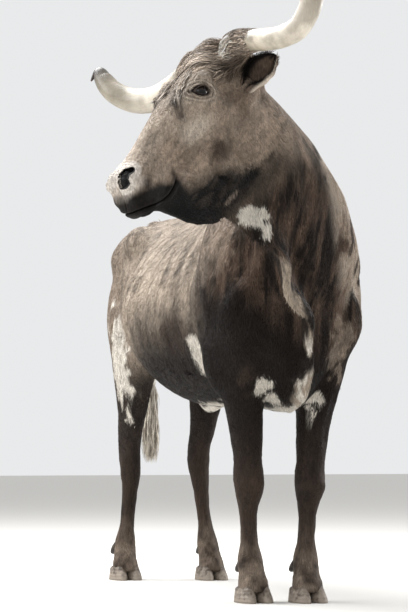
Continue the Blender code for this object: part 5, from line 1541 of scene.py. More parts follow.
        # lids
        for s in (-1, 1):
            _, b, out, gap = self.eye_parts(local, s)
            centre = np.array((EYE_AT[0], EYE_AT[1], s * EYE_AT[2]))
            ray = local - centre
            length = np.linalg.norm(ray, axis=1)
            ray = ray / np.maximum(length, 1e-6)[:, None]
            near = (out > -0.012) & (length < 0.06) & on
            skin = EYE_RADIUS + self.lid + 0.001 * ridge(gap, 0.002, 0.002)
            hold = fade(0.022 - gap, 0.0, 0.016) * near
            target = centre + ray * np.maximum(skin, np.where(gap > 0.008, length, 0))[:, None]
            fold = np.where(b > 0, 1.0, 0.55)
            lines = ridge(gap, 0.0017, 0.0085) + 0.9 * ridge(gap, 0.002, 0.015)
            lines += 0.6 * ridge(gap, 0.0022, 0.0215) + 0.4 * ridge(gap, 0.0026, 0.029)
            moved = mixed(local, target, hold) - ray * (0.0031 * lines * fold * near)[:, None]
            opened = near & (gap < 0)
            sunk = centre + ray * (EYE_RADIUS - 0.0065)
            local = np.where(opened[:, None], sunk, moved)
        set_points(hide, from_head(local))


@dataclass(frozen=True)
class Ear:
    """One ear: a thin leaf-shaped cup on a stalk, its hollow ahead."""

    side: Side
    rings: int = 34
    way: tuple = (None, (0.54, -0.2, 0.74), (0.72, -0.44, 0.48))
    shape: tuple = (
        (0.0, 0.02, 0.026, 0.018, 0.9), (0.14, 0.027, 0.03, 0.012, 0.8), (0.28, 0.037, 0.033, 0.007, 0.62),
        (0.45, 0.044, 0.031, 0.0052, 0.46), (0.62, 0.043, 0.025, 0.0046, 0.34),
        (0.78, 0.034, 0.018, 0.0042, 0.24),
        (0.91, 0.02, 0.009, 0.0038, 0.16), (1.0, 0.006, 0.002, 0.0026, 0.1),
    )

    def axes(self) -> tuple:
        """Gives the ear's root, the way it points, the way its hollow faces and the way across it.

        Returns:
            The four vectors.
        """
        s = self.side.value
        out, ahead, up = self.way[s]
        axis = (level_head(s * out, ahead, up) - POLL).normalized()
        face = (level_head(s * 0.46, 0.88, -0.12) - POLL).normalized()
        face = (face - axis * face.dot(axis)).normalized()
        return on_head(0.084, -0.146, s * 0.09), axis, face, axis.cross(face) * s

    def rows(self) -> list:
        """Gives the sections: centre, half width, depth, thickness and how far the rims close in.

        Returns:
            One tuple a ring.
        """
        root, axis, face, _ = self.axes()
        made = []
        keys = [(r[0], 0, 0, *r[1:]) for r in self.shape]
        for share, _, _, half, depth, thick, close in smooth_track(keys, self.rings):
            bend = face * (-0.02 * share * share) + Vector((0, 0, -0.016 * share * share))
            ripple = 1 + 0.03 * math.sin(share * 23.0)
            made.append((root + axis * (EAR_LENGTH * share) + bend + face * depth * 0.35, half * ripple,
                         depth, thick, close))
        return made

    def build(self) -> Piece:
        """Builds the ear, to be joined to the hide.

        Returns:
            The ear.
        """
        _, _, face, across = self.axes()
        rings = []
        for centre, half, depth, thick, close in self.rows():
            spread = math.pi * (0.5 + 0.42 * close)
            ring = []
            for k in range(25):
                angle = spread * (k / 12 - 1)
                ring.append(centre + across * math.sin(angle) * half - face * math.cos(angle) * depth)
            for k in range(22, -1, -1):
                angle = spread * 0.96 * (k / 11 - 1)
                wide, deep = max(half - thick, half * 0.12), max(depth - thick, -depth)
                wrinkle = 0.0008 * math.sin(angle * 9.0)
                ring.append(centre + across * math.sin(angle) * wide
                            - face * math.cos(angle) * (deep + wrinkle))
            rings.append(ring)
        return add_object("ear_" + self.side.word, loft("ear", rings))

    def colours(self, points: Rows) -> Rows:
        """Gives the ear's colours: brown outside, near black in the hollow as painted shade, pale on the rear
        rim.

        Args:
            points: Positions before the shift.

        Returns:
            One colour a point.
        """
        _, _, face, across = self.axes()
        rows = self.rows()
        centres = np.array([tuple(r[0]) for r in rows])
        gap = np.linalg.norm(points[:, None] - centres[None], axis=2)
        near = gap.argmin(1)
        depth, half = (np.array([r[k] for r in rows])[near] for k in (2, 1))
        ahead = (points - centres[near]) @ np.array(face) / depth
        aside = (points - centres[near]) @ np.array(across) / half
        inner = fade(ahead, -0.8, -0.45) * fade(gap.min(1) / half, 1.1, 0.97)
        # the hollow near black as painted shade, pale towards the rear rim
        inside = mixed(linear_row("#120E0C"), linear_row("#C9BDAF"), fade(aside, 0.76, 0.98))
        outer = linear_row("#5E5046") * (1 + 0.25 * noise(points, 0.01, 61))[:, None]
        return mixed(outer, inside, inner)

    def locks(self, count: int) -> list:
        """Gives tracks of the long hair that fringes the ear and crosses its hollow.

        Args:
            count: How many locks.

        Returns:
            Tuples of track, width, thickness and facing.
        """
        _, axis, face, across = self.axes()
        rows = self.rows()
        made = []
        for k in range(count):
            place = int(RNG.uniform(0.06, 0.97) * (self.rings - 1))
            centre, half, depth, thick, close = rows[place]
            rim = 1 if k % 2 else -1
            edge = k % 5 < 3
            angle = math.pi * (0.5 + 0.42 * close) * rim
            angle = angle * (RNG.uniform(0.93, 1.0) if edge else RNG.uniform(0.45, 0.93))
            radial = across * math.sin(angle) - face * math.cos(angle)
            root = centre + across * math.sin(angle) * (half - thick * 0.5)
            root = root - face * math.cos(angle) * (depth - thick * 0.5)
            length = RNG.uniform(0.01, 0.018) if edge else RNG.uniform(0.016, 0.032)
            lean = radial * RNG.uniform(0.1, 0.5) if edge else radial * RNG.uniform(-0.55, -0.15)
            way = (axis * RNG.uniform(0.6, 1.2) + lean + face * RNG.uniform(0.1, 0.5)).normalized()
            sag = Vector((0, 0, -0.2 * length))
            made.append(([root - way * 0.002, root + way * length * 0.4,
                          root + way * length * 0.75 + sag * 0.35,
                          root + way * length + sag], RNG.uniform(0.0005, 0.001), 0.0003, face))
        return made


@dataclass(frozen=True)
class Tail:
    """The tail's stalk and its switch of long pale hair."""

    rings: int = 90
    keys: tuple = (
        (0.0, 1.205, 1.3, 0.036), (0.0, 1.29, 1.316, 0.037), (0.002, 1.35, 1.296, 0.033),
        (0.004, 1.396, 1.225, 0.028),
        (0.01, 1.42, 1.06, 0.022), (0.018, 1.424, 0.88, 0.018), (0.022, 1.42, 0.742, 0.016),
        (0.023, 1.42, 0.66, 0.013),
        (0.024, 1.42, 0.6, 0.006),
    )

    def build(self) -> Piece:
        """Builds the stalk, to be joined to the hide.

        Returns:
            The stalk.
        """
        rows = smooth_track(self.keys, self.rings)
        rings = []
        for i, row in enumerate(rows):
            along = Vector(rows[min(i + 1, self.rings - 1)][:3]) - Vector(rows[max(i - 1, 0)][:3])
            across = Vector((1, 0, 0))
            up = across.cross(along).normalized()
            centre, radius = Vector(row[:3]), row[3] * (1 + 0.02 * math.sin(i * 0.9)) - 0.002
            rings.append(oval(centre + up * radius, centre - up * radius, across, radius, sides=24))
        return add_object("tail_stalk", loft("tail_stalk", rings))

    def locks(self, count: int) -> list:
        """Gives tracks of the switch's locks, hanging and crossing to their tips.

        Args:
            count: How many locks.

        Returns:
            Tuples of track, half width, half thickness and facing.
        """
        made = []
        for k in range(count):
            angle = k * GOLDEN_TURN
            out = Vector((math.cos(angle), math.sin(angle), 0))
            start = RNG.uniform(0.615, 0.755)
            length = RNG.uniform(0.16, 0.3) * (0.75 if start > 0.72 else 1.0)
            bulge = RNG.uniform(0.01, 0.031)
            swing = Vector((RNG.uniform(-0.016, 0.016), RNG.uniform(-0.01, 0.01), 0))
            base = Vector((0.022, 1.42, 0))
            low = max(start - length, 0.425 + RNG.uniform(0.0, 0.03))
            length = start - low
            turn = out.cross(Vector((0, 0, 1))) * RNG.uniform(-0.01, 0.01)
            made.append(([
                base + out * 0.008 + Vector((0, 0, start)),
                base + out * bulge * 0.8 + turn * 0.3 + Vector((0, 0, start - length * 0.22)),
                base + out * bulge + swing * 0.4 + turn + Vector((0, 0, start - length * 0.5)),
                base + out * bulge * 0.75 + swing - turn * 0.3 + Vector((0, 0, start - length * 0.78)),
                base + out * bulge * 0.35 + swing * 1.2 + Vector((0, 0, low)),
            ], RNG.uniform(0.0022, 0.0042), 0.0009, out))
        return made


@dataclass(frozen=True)
class Horn:
    """One horn: a curved cone with growth rings at its root and a smooth dark tip."""

    side: Side
    rings: int = HORN_RINGS
    sides: int = 48
    left: tuple = (
        (0.09, 0.0, -0.036, 0.033), (0.135, 0.014, -0.03, 0.0335), (0.2, 0.021, -0.034, 0.033),
        (0.282, 0.033, -0.045, 0.0325), (0.374, 0.046, -0.052, 0.0322), (0.446, 0.054, -0.04, 0.032),
        (0.488, 0.055, 0.0, 0.0315), (0.507, 0.053, 0.053, 0.031), (0.519, 0.046, 0.135, 0.029),
        (0.522, 0.027, 0.225, 0.024), (0.528, -0.002, 0.305, 0.016), (0.541, -0.026, 0.36, 0.0075),
        (0.545, -0.031, 0.371, 0.003),
    )
    right: tuple = (
        (-0.09, -0.02, -0.042, 0.035), (-0.15, -0.038, -0.062, 0.037), (-0.23, -0.046, -0.094, 0.0385),
        (-0.335, -0.036, -0.124, 0.04), (-0.418, -0.016, -0.116, 0.0385), (-0.478, 0.012, -0.082, 0.0345),
        (-0.514, 0.022, -0.042, 0.029), (-0.532, 0.026, -0.018, 0.019), (-0.545, 0.027, -0.016, 0.0105),
        (-0.556, 0.034, -0.034, 0.005), (-0.56, 0.037, -0.042, 0.002),
    )

    def keys(self) -> list:
        """Gives the rows of centre and radius, before the shift."""
        return [(*level_head(*r[:3]), r[3]) for r in (self.left if self.side is Side.LEFT else self.right)]

    def build(self) -> Piece:
        """Builds the horn with its growth attribute.

        Returns:
            The horn.
        """
        rows = smooth_track(self.keys(), self.rings)
        spots, growth = [], []
        for i, row in enumerate(rows):
            across, up = ring_axes(rows, i)
            share = i / (self.rings - 1)
            root = max(0.0, 1 - share / 0.34)
            swell = 0.0007 * root * (math.sin(i * 1.15) + 0.5 * math.sin(i * 2.3 + 1.0))
            radius = max(row[3] * 0.988 + swell, 0.0012)
            ring = []
            for k in range(self.sides):
                angle = 2 * math.pi * k / self.sides
                flute = 1 + 0.006 * root * math.sin(angle * 11 + i * 0.05) + 0.01 * math.sin(angle * 2 + 1.3)
                ring.append(Vector(row[:3])
                            + (across * math.cos(angle) + up * math.sin(angle)) * radius * flute)
                growth.append((share, abs(angle / math.pi - 1), 0.0))
            spots.append(ring)
        obj = add_object("horn_sheath_" + self.side.word, loft("horn", spots))
        growth += [(0.0, 0.0, 0.0), (1.0, 0.0, 0.0)]
        layer = obj.data.attributes.new("growth", "FLOAT_VECTOR", "POINT")
        layer.data.foreach_set("vector", np.array(growth, np.float32).ravel())
        return obj


@dataclass(frozen=True)
class Eye:
    """One eyeball with the bulge of its cornea."""

    side: Side

    def build(self) -> Piece:
        """Builds the ball in the head's frame, facing out, ahead and a little down.

        Returns:
            The ball.
        """
        deselect()
        bpy.ops.mesh.primitive_uv_sphere_add(segments=48, ring_count=32, radius=EYE_RADIUS - 0.0002)
        obj = bpy.context.object
        obj.name = "eyeball_" + self.side.word
        s = self.side.value
        points = points_of(obj)
        gaze = np.array(self.gaze_local())
        share = points @ gaze / EYE_RADIUS
        points = points + gaze * (0.0011 * fade(share, 0.72, 0.95))[:, None]
        points = points + np.array((EYE_AT[0], EYE_AT[1], s * EYE_AT[2]))
        set_points(obj, from_head(points))
        obj.data.flip_normals()
        return obj

    def gaze_local(self) -> Vector:
        """Gives the way the eye looks, in the head's frame."""
        return Vector((0.22, 0.02, self.side.value * 1.0)).normalized()

    def dress(self, obj: Piece) -> None:
        """Paints the ball; it has been moved onto the solids by now.

        Args:
            obj: The ball.
        """
        s = self.side.value
        centre = HEAD @ Vector((EYE_AT[0], EYE_AT[1], s * EYE_AT[2])) + SHIFT
        turned = HEAD.to_3x3()
        level = turned @ Vector((math.cos(EYE_TILT), math.sin(EYE_TILT), 0))
        obj.data.materials.append(WetEye().build(centre, turned @ self.gaze_local(), level))

    def lashes(self, count: int) -> list:
        """Gives tracks of the lashes along the upper lid.

        Args:
            count: How many lashes.

        Returns:
            Tuples of track, half width, half thickness and facing.
        """
        s = self.side.value
        face = Face()
        made = []
        for k in range(count):
            a = face.slit * (-0.86 + 1.72 * (k + RNG.uniform(-0.3, 0.3)) / (count - 1))
            a = max(-0.95 * face.slit, min(0.95 * face.slit, a))
            b = face.upper * (1 - (a / face.slit) ** 2) ** 0.7 + 0.0006
            u = a * math.cos(EYE_TILT) - b * math.sin(EYE_TILT)
            v = a * math.sin(EYE_TILT) + b * math.cos(EYE_TILT)
            rise = math.sqrt(max((EYE_RADIUS + 0.0022) ** 2 - u * u - v * v, 1e-8))
            root = Vector((EYE_AT[0] + u + 0.18 * rise * 0.5, EYE_AT[1] + v, s * (EYE_AT[2] + rise * 0.97)))
            across = Vector((-math.sin(EYE_TILT), math.cos(EYE_TILT), 0))
            along = Vector((math.cos(EYE_TILT), math.sin(EYE_TILT), 0))
            out = Vector((0, 0, s))
            length = RNG.uniform(0.01, 0.016)
            track = [root, root + (out * 0.8 - across * 0.25) * length * 0.45,
                     root + (out * 1.1 - across * 0.15 + along * a * 8) * length * 0.75,
                     root + (out * 1.25 + across * 0.1 + along * a * 12) * length]
            made.append(([HEAD @ p for p in track], 0.0007, 0.0004, HEAD.to_3x3() @ across))
        return made


@dataclass(frozen=True)
class Foot:
    """One foot: two claws flat on the floor and two dewclaws behind the fetlock."""

    side: Side
    fore: bool

    def centre(self) -> tuple[float, float]:
        """Gives where the column of the foot stands.

        Returns:
            Its x and y.
        """
        s = self.side.value
        if self.fore:
            return s * FORE_HOOF_SIDE + FORE_LEAN, -s * FORE_HOOF_STEP - 0.024
        return s * HIND_HOOF_SIDE, STANCE - s * HIND_HOOF_STEP - 0.016

    def word(self) -> str:
        """Gives the foot's name in the solids."""
        return ("fore_" if self.fore else "hind_") + self.side.word

    def claw(self, inner: bool) -> Piece:
        """Builds one claw with its wall, rounded edge and coronet.

        Args:
            inner: Whether it is the claw nearer the middle plane.

        Returns:
            The claw.
        """
        x, middle = self.centre()
        s = self.side.value
        way = -s if inner else s
        rings = []
        for share, scale, slide in smooth_track([(0.0, 0.975, 0.0), (0.045, 1.008, 0.0005),
                                                 (0.1, 1.015, 0.001),
                                                 (0.55, 0.93, 0.012), (0.9, 0.862, 0.0195),
                                                 (0.965, 0.862, 0.0205),
                                                 (1.0, 0.82, 0.0215)], 22):
            ring = []
            for k in range(40):
                angle = 2 * math.pi * k / 40
                c, t = math.cos(angle), math.sin(angle)
                along = -c * CLAW_LENGTH * 0.5 * (1 - 0.32 * share)
                width = CLAW_HALF_WIDTH * scale * (1 - 0.3 * c * abs(c))
                across = math.copysign(abs(t) ** 0.8, t) * way * width * (1.0 if t * way > 0 else 0.93)
                across = max(across * way, -CLAW_HALF_WIDTH * 0.9) * way
                yy = middle - 0.006 + along + slide
                xx = x + way * (CLAW_HALF_WIDTH + 0.0006) + across - way * 0.004 * share - way * c * 0.002
                top = TOE_HEIGHT + (HEEL_HEIGHT - TOE_HEIGHT) * (yy - middle + 0.052) / 0.104 - 0.0003
                ring.append(Vector((xx, yy, max(top * share, 0.0))))
            rings.append(ring)
        return add_object(f"claw_wall_{self.word()}_{'inner' if inner else 'outer'}", loft("claw", rings))

    def dewclaw(self, inner: bool) -> Piece:
        """Builds one dewclaw.

        Args:
            inner: Whether it is the one nearer the middle plane.

        Returns:
            The dewclaw.
        """
        x, middle = self.centre()
        way = -self.side.value if inner else self.side.value
        root = Vector((x + way * 0.023, middle + 0.03, 0.132))
        tip = Vector((x + way * 0.028, middle + 0.076, 0.094))
        rings = []
        for share, _, _, radius in smooth_track([(0.0, 0, 0, 0.014), (0.35, 0, 0, 0.0155),
                                                 (0.7, 0, 0, 0.0135),
                                                 (0.92, 0, 0, 0.009), (1.0, 0, 0, 0.004)], 12):
            middle_at = root.lerp(tip, share)
            rings.append([middle_at + (Vector((1, 0, 0)) * math.cos(a)
                                       + Vector((0, 0.4, 0.6)) * math.sin(a)) * radius
                          for a in (2 * math.pi * k / 18 for k in range(18))])
        return add_object(f"dewclaw_horn_{self.word()}_{'inner' if inner else 'outer'}",
                          loft("dewclaw", rings))


# Coat


def lock_piece(name: str, locks: list, colours: Rows, rings: int = 9) -> Piece:
    """Builds one piece of flat tapered locks, each a closed form.

    Args:
        name: The piece's name.
        locks: Tuples of track, half width, half thickness and the way its flat side faces.
        colours: One linear colour a lock.
        rings: How many rings a lock gets, its two ends apart.

    Returns:
        The piece, with its coat attribute and bake map.
    """
    spots, shades = [], []
    for track, width, thick, face in locks:
        rows = smooth_track([tuple(p) for p in track], rings + 2)
        along = np.gradient(rows, axis=0)
        across = np.cross(along, np.array(face)[None])
        across /= np.maximum(np.linalg.norm(across, axis=1), 1e-9)[:, None]
        up = np.cross(across, along)
        up /= np.maximum(np.linalg.norm(up, axis=1), 1e-9)[:, None]
        share = np.linspace(0, 1, rings + 2)
        taper = np.where(share < 0.3, 0.55 + 1.5 * share, ((1 - share) / 0.7) ** 0.7)[:, None]
        wave = np.sin(share * 14.0 + width * 9000)[:, None] * width * 0.25
        middle = rows + across * wave
        section = [middle + across * width * taper, middle + up * thick * taper,
                   middle - across * width * taper,
                   middle - up * thick * taper * 0.6]
        body = np.stack(section, 1)[1:-1]
        spots.append(np.vstack([rows[:1], body.reshape(-1, 3), rows[-1:]]))
        shades.append(np.concatenate([[0.7], np.repeat(0.8 + 0.35 * share[1:-1], 4), [1.15]]))
    each = rings * 4 + 2
    faces = [(0, 1 + (k + 1) % 4, 1 + k) for k in range(4)]
    for i in range(rings - 1):
        low, high = 1 + i * 4, 5 + i * 4
        faces += [(low + k, low + (k + 1) % 4, high + (k + 1) % 4, high + k) for k in range(4)]
    last = 1 + (rings - 1) * 4
    faces += [(last + k, last + (k + 1) % 4, each - 1) for k in range(4)]
    spots, shades = np.array(spots), np.array(shades)
    tint = np.concatenate([colours[:, None] * shades[:, :, None], np.ones((len(locks), each, 1))], 2)
    roots = spots[:, 0]
    spin = np.arctan2(roots[:, 1] - roots[:, 1].mean(), roots[:, 0] - roots[:, 0].mean())
    flat = np.stack([0.02 + 0.96 * (spin / (2 * math.pi) + 0.5), unit(roots[:, 2])], 1)
    step = np.linspace(-0.0015, 0.0015, each)
    uv = flat[:, None] + np.stack([step, step[::-1]], 1)[None]
    return mesh_of_many(name, spots, faces, tint, uv)


def unit(values: Rows) -> Rows:
    """Gives values stretched to lie between 0.02 and 0.98."""
    low, high = values.min(), values.max()
    return 0.02 + 0.96 * (values - low) / max(high - low, 1e-9)


def mesh_of_many(name: str, spots: Rows, faces: list, tint: Rows, uv: Rows) -> Piece:
    """Builds one mesh of many copies of a small form.

    Args:
        name: The piece's name.
        spots: The points of each copy.
        faces: The faces of one copy.
        tint: A colour for each point of each copy.
        uv: A place in the bake map for each point of each copy.

    Returns:
        The piece.
    """
    count, each, _ = spots.shape
    corners = np.array([c for f in faces for c in f])
    sizes = np.array([len(f) for f in faces])
    loops = (np.arange(count)[:, None] * each + corners[None]).ravel()
    totals = np.tile(sizes, count)
    mesh = bpy.data.meshes.new(name)
    mesh.vertices.add(count * each)
    mesh.vertices.foreach_set("co", (spots + SHIFT_ROW).astype(np.float32).ravel())
    mesh.loops.add(len(loops))
    mesh.loops.foreach_set("vertex_index", loops.astype(np.int32))
    mesh.polygons.add(len(totals))
    mesh.polygons.foreach_set("loop_start", np.concatenate([[0], np.cumsum(totals)[:-1]]).astype(np.int32))
    mesh.update(calc_edges=True)
    layer = mesh.attributes.new("coat", "FLOAT_COLOR", "POINT")
    layer.data.foreach_set("color", tint.astype(np.float32).ravel())
    bake = mesh.uv_layers.new(name="OFBake")
    bake.data.foreach_set("uv", uv.reshape(-1, 2)[loops].astype(np.float32).ravel())
    mesh.polygons.foreach_set("use_smooth", np.ones(len(totals), bool))
    mesh.validate()
    return add_object(name, mesh)


@dataclass
class Roots:
    """Where tufts grow: places on the hide, its normals there and the way the hair lies."""

    points: Rows
    normals: Rows
    ways: Rows

    @classmethod
    def scatter(cls, hide: Piece, zone: Zone, count: int) -> "Roots":
        """Scatters roots over one zone of the hide.

        Args:
            hide: The skin, before the shift.
            zone: The zone.
            count: How many roots.

        Returns:
            The roots.
        """
        mesh = hide.data
        mesh.calc_loop_triangles()
        corner = np.empty(len(mesh.loop_triangles) * 3, np.int32)
        mesh.loop_triangles.foreach_get("vertices", corner)
        corner = corner.reshape(-1, 3)
        points, normals = points_of(hide), normals_of(hide)
        a, b, c = (points[corner[:, k]] for k in range(3))
        area = np.linalg.norm(np.cross(b - a, c - a), axis=1) / 2
        middle = (a + b + c) / 3
        weight = area * cls.density(middle) * (zone_of(middle) == list(Zone).index(zone))
        pick = RNG.choice(len(area), count, p=weight / weight.sum())
        r, s = RNG.random(count), RNG.random(count)
        r, s = np.where(r + s > 1, 1 - r, r), np.where(r + s > 1, 1 - s, s)
        t = 1 - r - s
        at = a[pick] * t[:, None] + b[pick] * r[:, None] + c[pick] * s[:, None]
        face = corner[pick]
        up = sum(normals[face[:, k]] * part[:, None] for k, part in enumerate((t, r, s)))
        up /= np.maximum(np.linalg.norm(up, axis=1), 1e-9)[:, None]
        return cls(at, up, lie_of(at, up))

    @staticmethod
    def density(points: Rows) -> Rows:
        """Gives how dense the tufts grow, from 0 on bare skin to 1 and more on the face.

        Args:
            points: Positions before the shift.

        Returns:
            One share a point.
        """
        local = to_head(points)
        u, v = local.T[:2]
        head = zone_of(points) == 0
        much = np.ones(len(points))
        bare = fade(u + 0.12 * v, 0.475, 0.505) * fade(v, -0.155, -0.125)
        gap = Face().eye_gap(local, 0.05)
        much = much * np.where(head, (1 - bare) * fade(gap, 0.002, 0.006), 1.0)
        lips = fade(abs(Face().mouth_gap(local)), 0.016, 0.006) * (u > 0.43) * head
        much = much * (1 - lips)
        return much * (points[:, 2] > 0.05)

    def picked(self, mask: Rows) -> "Roots":
        """Gives the roots that a mask picks."""
        return Roots(self.points[mask], self.normals[mask], self.ways[mask])


def zone_of(points: Rows) -> Rows:
    """Gives 0 on the head, 1 on the neck, 2 on the trunk and 3 on the legs.

    Args:
        points: Positions before the shift.

    Returns:
        One number a point.
    """
    local = to_head(points)
    y, z = points.T[1:]
    head = (local[:, 0] > 0.0) & (local[:, 0] < 0.7) & (local[:, 1] > -0.36) & (local[:, 1] < 0.16)
    head &= (local[:, 1] > -0.3 - 0.5 * np.maximum(0.12 - local[:, 0], 0) * 4) | (local[:, 0] > 0.18)
    zone = np.where(y + 0.35 * (z - 1.0) < 0.03, 1, 2)
    zone = np.where(z < 0.64, 3, zone)
    return np.where(head, 0, zone)


@dataclass(frozen=True)
class Tufts:
    """The tufts of one zone: their size, how they lift and how much they vary."""

    zone: Zone
    count: int
    length: float
    width: float
    lift: float
    long: bool = False  # two rings and a bend instead of one ring

    def sizes(self, roots: Roots) -> tuple[Rows, Rows, Rows]:
        """Gives each tuft's length, half width and lift.

        Args:
            roots: Where they grow.

        Returns:
            Three arrays, in metres.
        """
        x, _, z = roots.points.T
        local = to_head(roots.points)
        count = len(x)
        length = self.length * RNG.uniform(0.65, 1.35, count)
        width = self.width * RNG.uniform(0.7, 1.3, count)
        lift = self.lift * RNG.uniform(0.5, 1.5, count)
        if self.zone is Zone.HEAD:
            small = 1 - 0.45 * fade(local[:, 0], 0.3, 0.5)
            crown = np.maximum(fade(0.12 - local[:, 0], 0.0, 0.1), fade(-local[:, 1], 0.2, 0.32))
            length *= small * (1 + 1.3 * crown)
            width *= small * (1 + 0.5 * crown)
            lift *= small * (1 + 0.8 * crown)
        elif self.zone is Zone.NECK:
            shag = 0.5 + 0.5 * noise(roots.points, 0.09, 41)
            length *= 0.75 + 0.6 * shag
            lift *= 0.7 + 0.8 * shag
        elif self.zone is Zone.TRUNK:
            under = fade(0.7 - z, 0.0, 0.06)
            length *= 1 + 0.7 * under
            lift *= 1 + 0.8 * under
        else:
            thin = fade(0.6 - z, 0.0, 0.3)
            length *= 1 - 0.45 * thin
            width *= 1 - 0.35 * thin
            lift *= 1 - 0.55 * thin
        return length, width, lift

    def build(self, roots: Roots, name: str) -> Piece:
        """Builds one piece of tufts on some roots.

        Args:
            roots: Where they grow.
            name: The piece's name.

        Returns:
            The piece, with its coat attribute and bake map.
        """
        count = len(roots.points)
        length, width, lift = self.sizes(roots)
        up, way = roots.normals, roots.ways
        across = np.cross(up, way)
        wavy = 0.12 if self.zone is Zone.HEAD else 0.26
        sway = (0.16 * RNG.standard_normal(count) + wavy * noise(roots.points, 0.018, 42))[:, None]
        way = way + across * sway
        way /= np.linalg.norm(way, axis=1)[:, None]
        across = np.cross(up, way)
        root = roots.points - up * 0.0006 - way * 0.1 * length[:, None]
        bend = across * (RNG.standard_normal(count) * 0.1 * length)[:, None]

        def ring(share: float, wide: float, high: float) -> list:
            """Gives the three points of a tuft's section."""
            arch = share * (1.6 - 0.9 * share)
            middle = root + way * (length * share)[:, None] + up * (lift * arch)[:, None]
            middle = middle + bend * share * share
            half = (width * wide)[:, None]
            return [middle - across * half, middle + across * half, middle + up * (half * high)]

        tip = root + way * length[:, None] + up * (lift * 0.75)[:, None] + bend
        if self.long:
            rows = [root, *ring(0.3, 1.0, 0.55), *ring(0.68, 0.8, 0.5), tip]
            faces = [(0, 1, 3), (0, 3, 2), (0, 2, 1), (1, 4, 6, 3), (3, 6, 5, 2), (2, 5, 4, 1), (4, 7, 6),
                     (6, 7, 5), (5, 7, 4)]
            tone = np.array([0.62, 0.8, 0.8, 0.92, 1.0, 1.0, 1.12, 1.22])
        else:
            rows = [root, *ring(0.42, 1.0, 0.5), tip]
            faces = [(0, 1, 3), (0, 3, 2), (0, 2, 1), (1, 4, 3), (3, 4, 2), (2, 4, 1)]
            tone = np.array([0.66, 0.92, 0.92, 1.04, 1.18])
        spots = np.stack(rows, 1)
        colour = MARKINGS.colour(roots.points + way * (0.4 * length)[:, None])
        colour = colour * (1 + 0.13 * RNG.standard_normal(count))[:, None].clip(0.5, 1.6)
        tint = np.concatenate([colour[:, None] * tone[None, :, None], np.ones((count, len(tone), 1))], 2)
        flat = unwrap(roots.points, self.zone)
        steps = np.stack([np.linspace(-0.0015, 0.0015, len(tone)),
                          0.0015 * np.cos(np.arange(len(tone)) * 2.1)], 1)
        return mesh_of_many(name, spots, faces, np.clip(tint, 0, 1), flat[:, None] + steps[None])


def unwrap(points: Rows, zone: Zone) -> Rows:
    """Unrolls a zone of the hide: along its length one way and round it the other.

    Args:
        points: Places on the hide.
        zone: Which zone.

    Returns:
        A pair between 0 and 1 for each.
    """
    x, y, z = points.T
    local = to_head(points)
    if zone is Zone.HEAD:
        along, turn = local[:, 0], np.arctan2(local[:, 2], local[:, 1] + 0.15)
    elif zone is Zone.NECK:
        along = y * 0.5 - z * 0.6 + x * 0.3
        mid = np.array([[-0.03, -0.05, 1.08], [-0.33, -0.42, 1.42]])
        part = np.clip((z - 1.08) / 0.34, 0, 1)[:, None]
        centre = mid[0] * (1 - part) + mid[1] * part
        turn = np.arctan2(x - centre[:, 0], y - centre[:, 1])
    elif zone is Zone.TRUNK:
        along, turn = y, np.arctan2(x, z - 1.0)
    else:
        fore = y < 0.6
        middle = np.where(fore, 0.0, 1.22)
        leg = np.where(x > 0, 0, 1) + np.where(fore, 0, 2)
        turn = np.arctan2(x - np.sign(x) * 0.11, y - middle)
        return np.stack([0.02 + 0.24 * (leg + (turn / (2 * math.pi) + 0.5) * 0.96), unit(z)], 1)
    return np.stack([unit(along), 0.02 + 0.96 * (turn / (2 * math.pi) + 0.5)], 1)


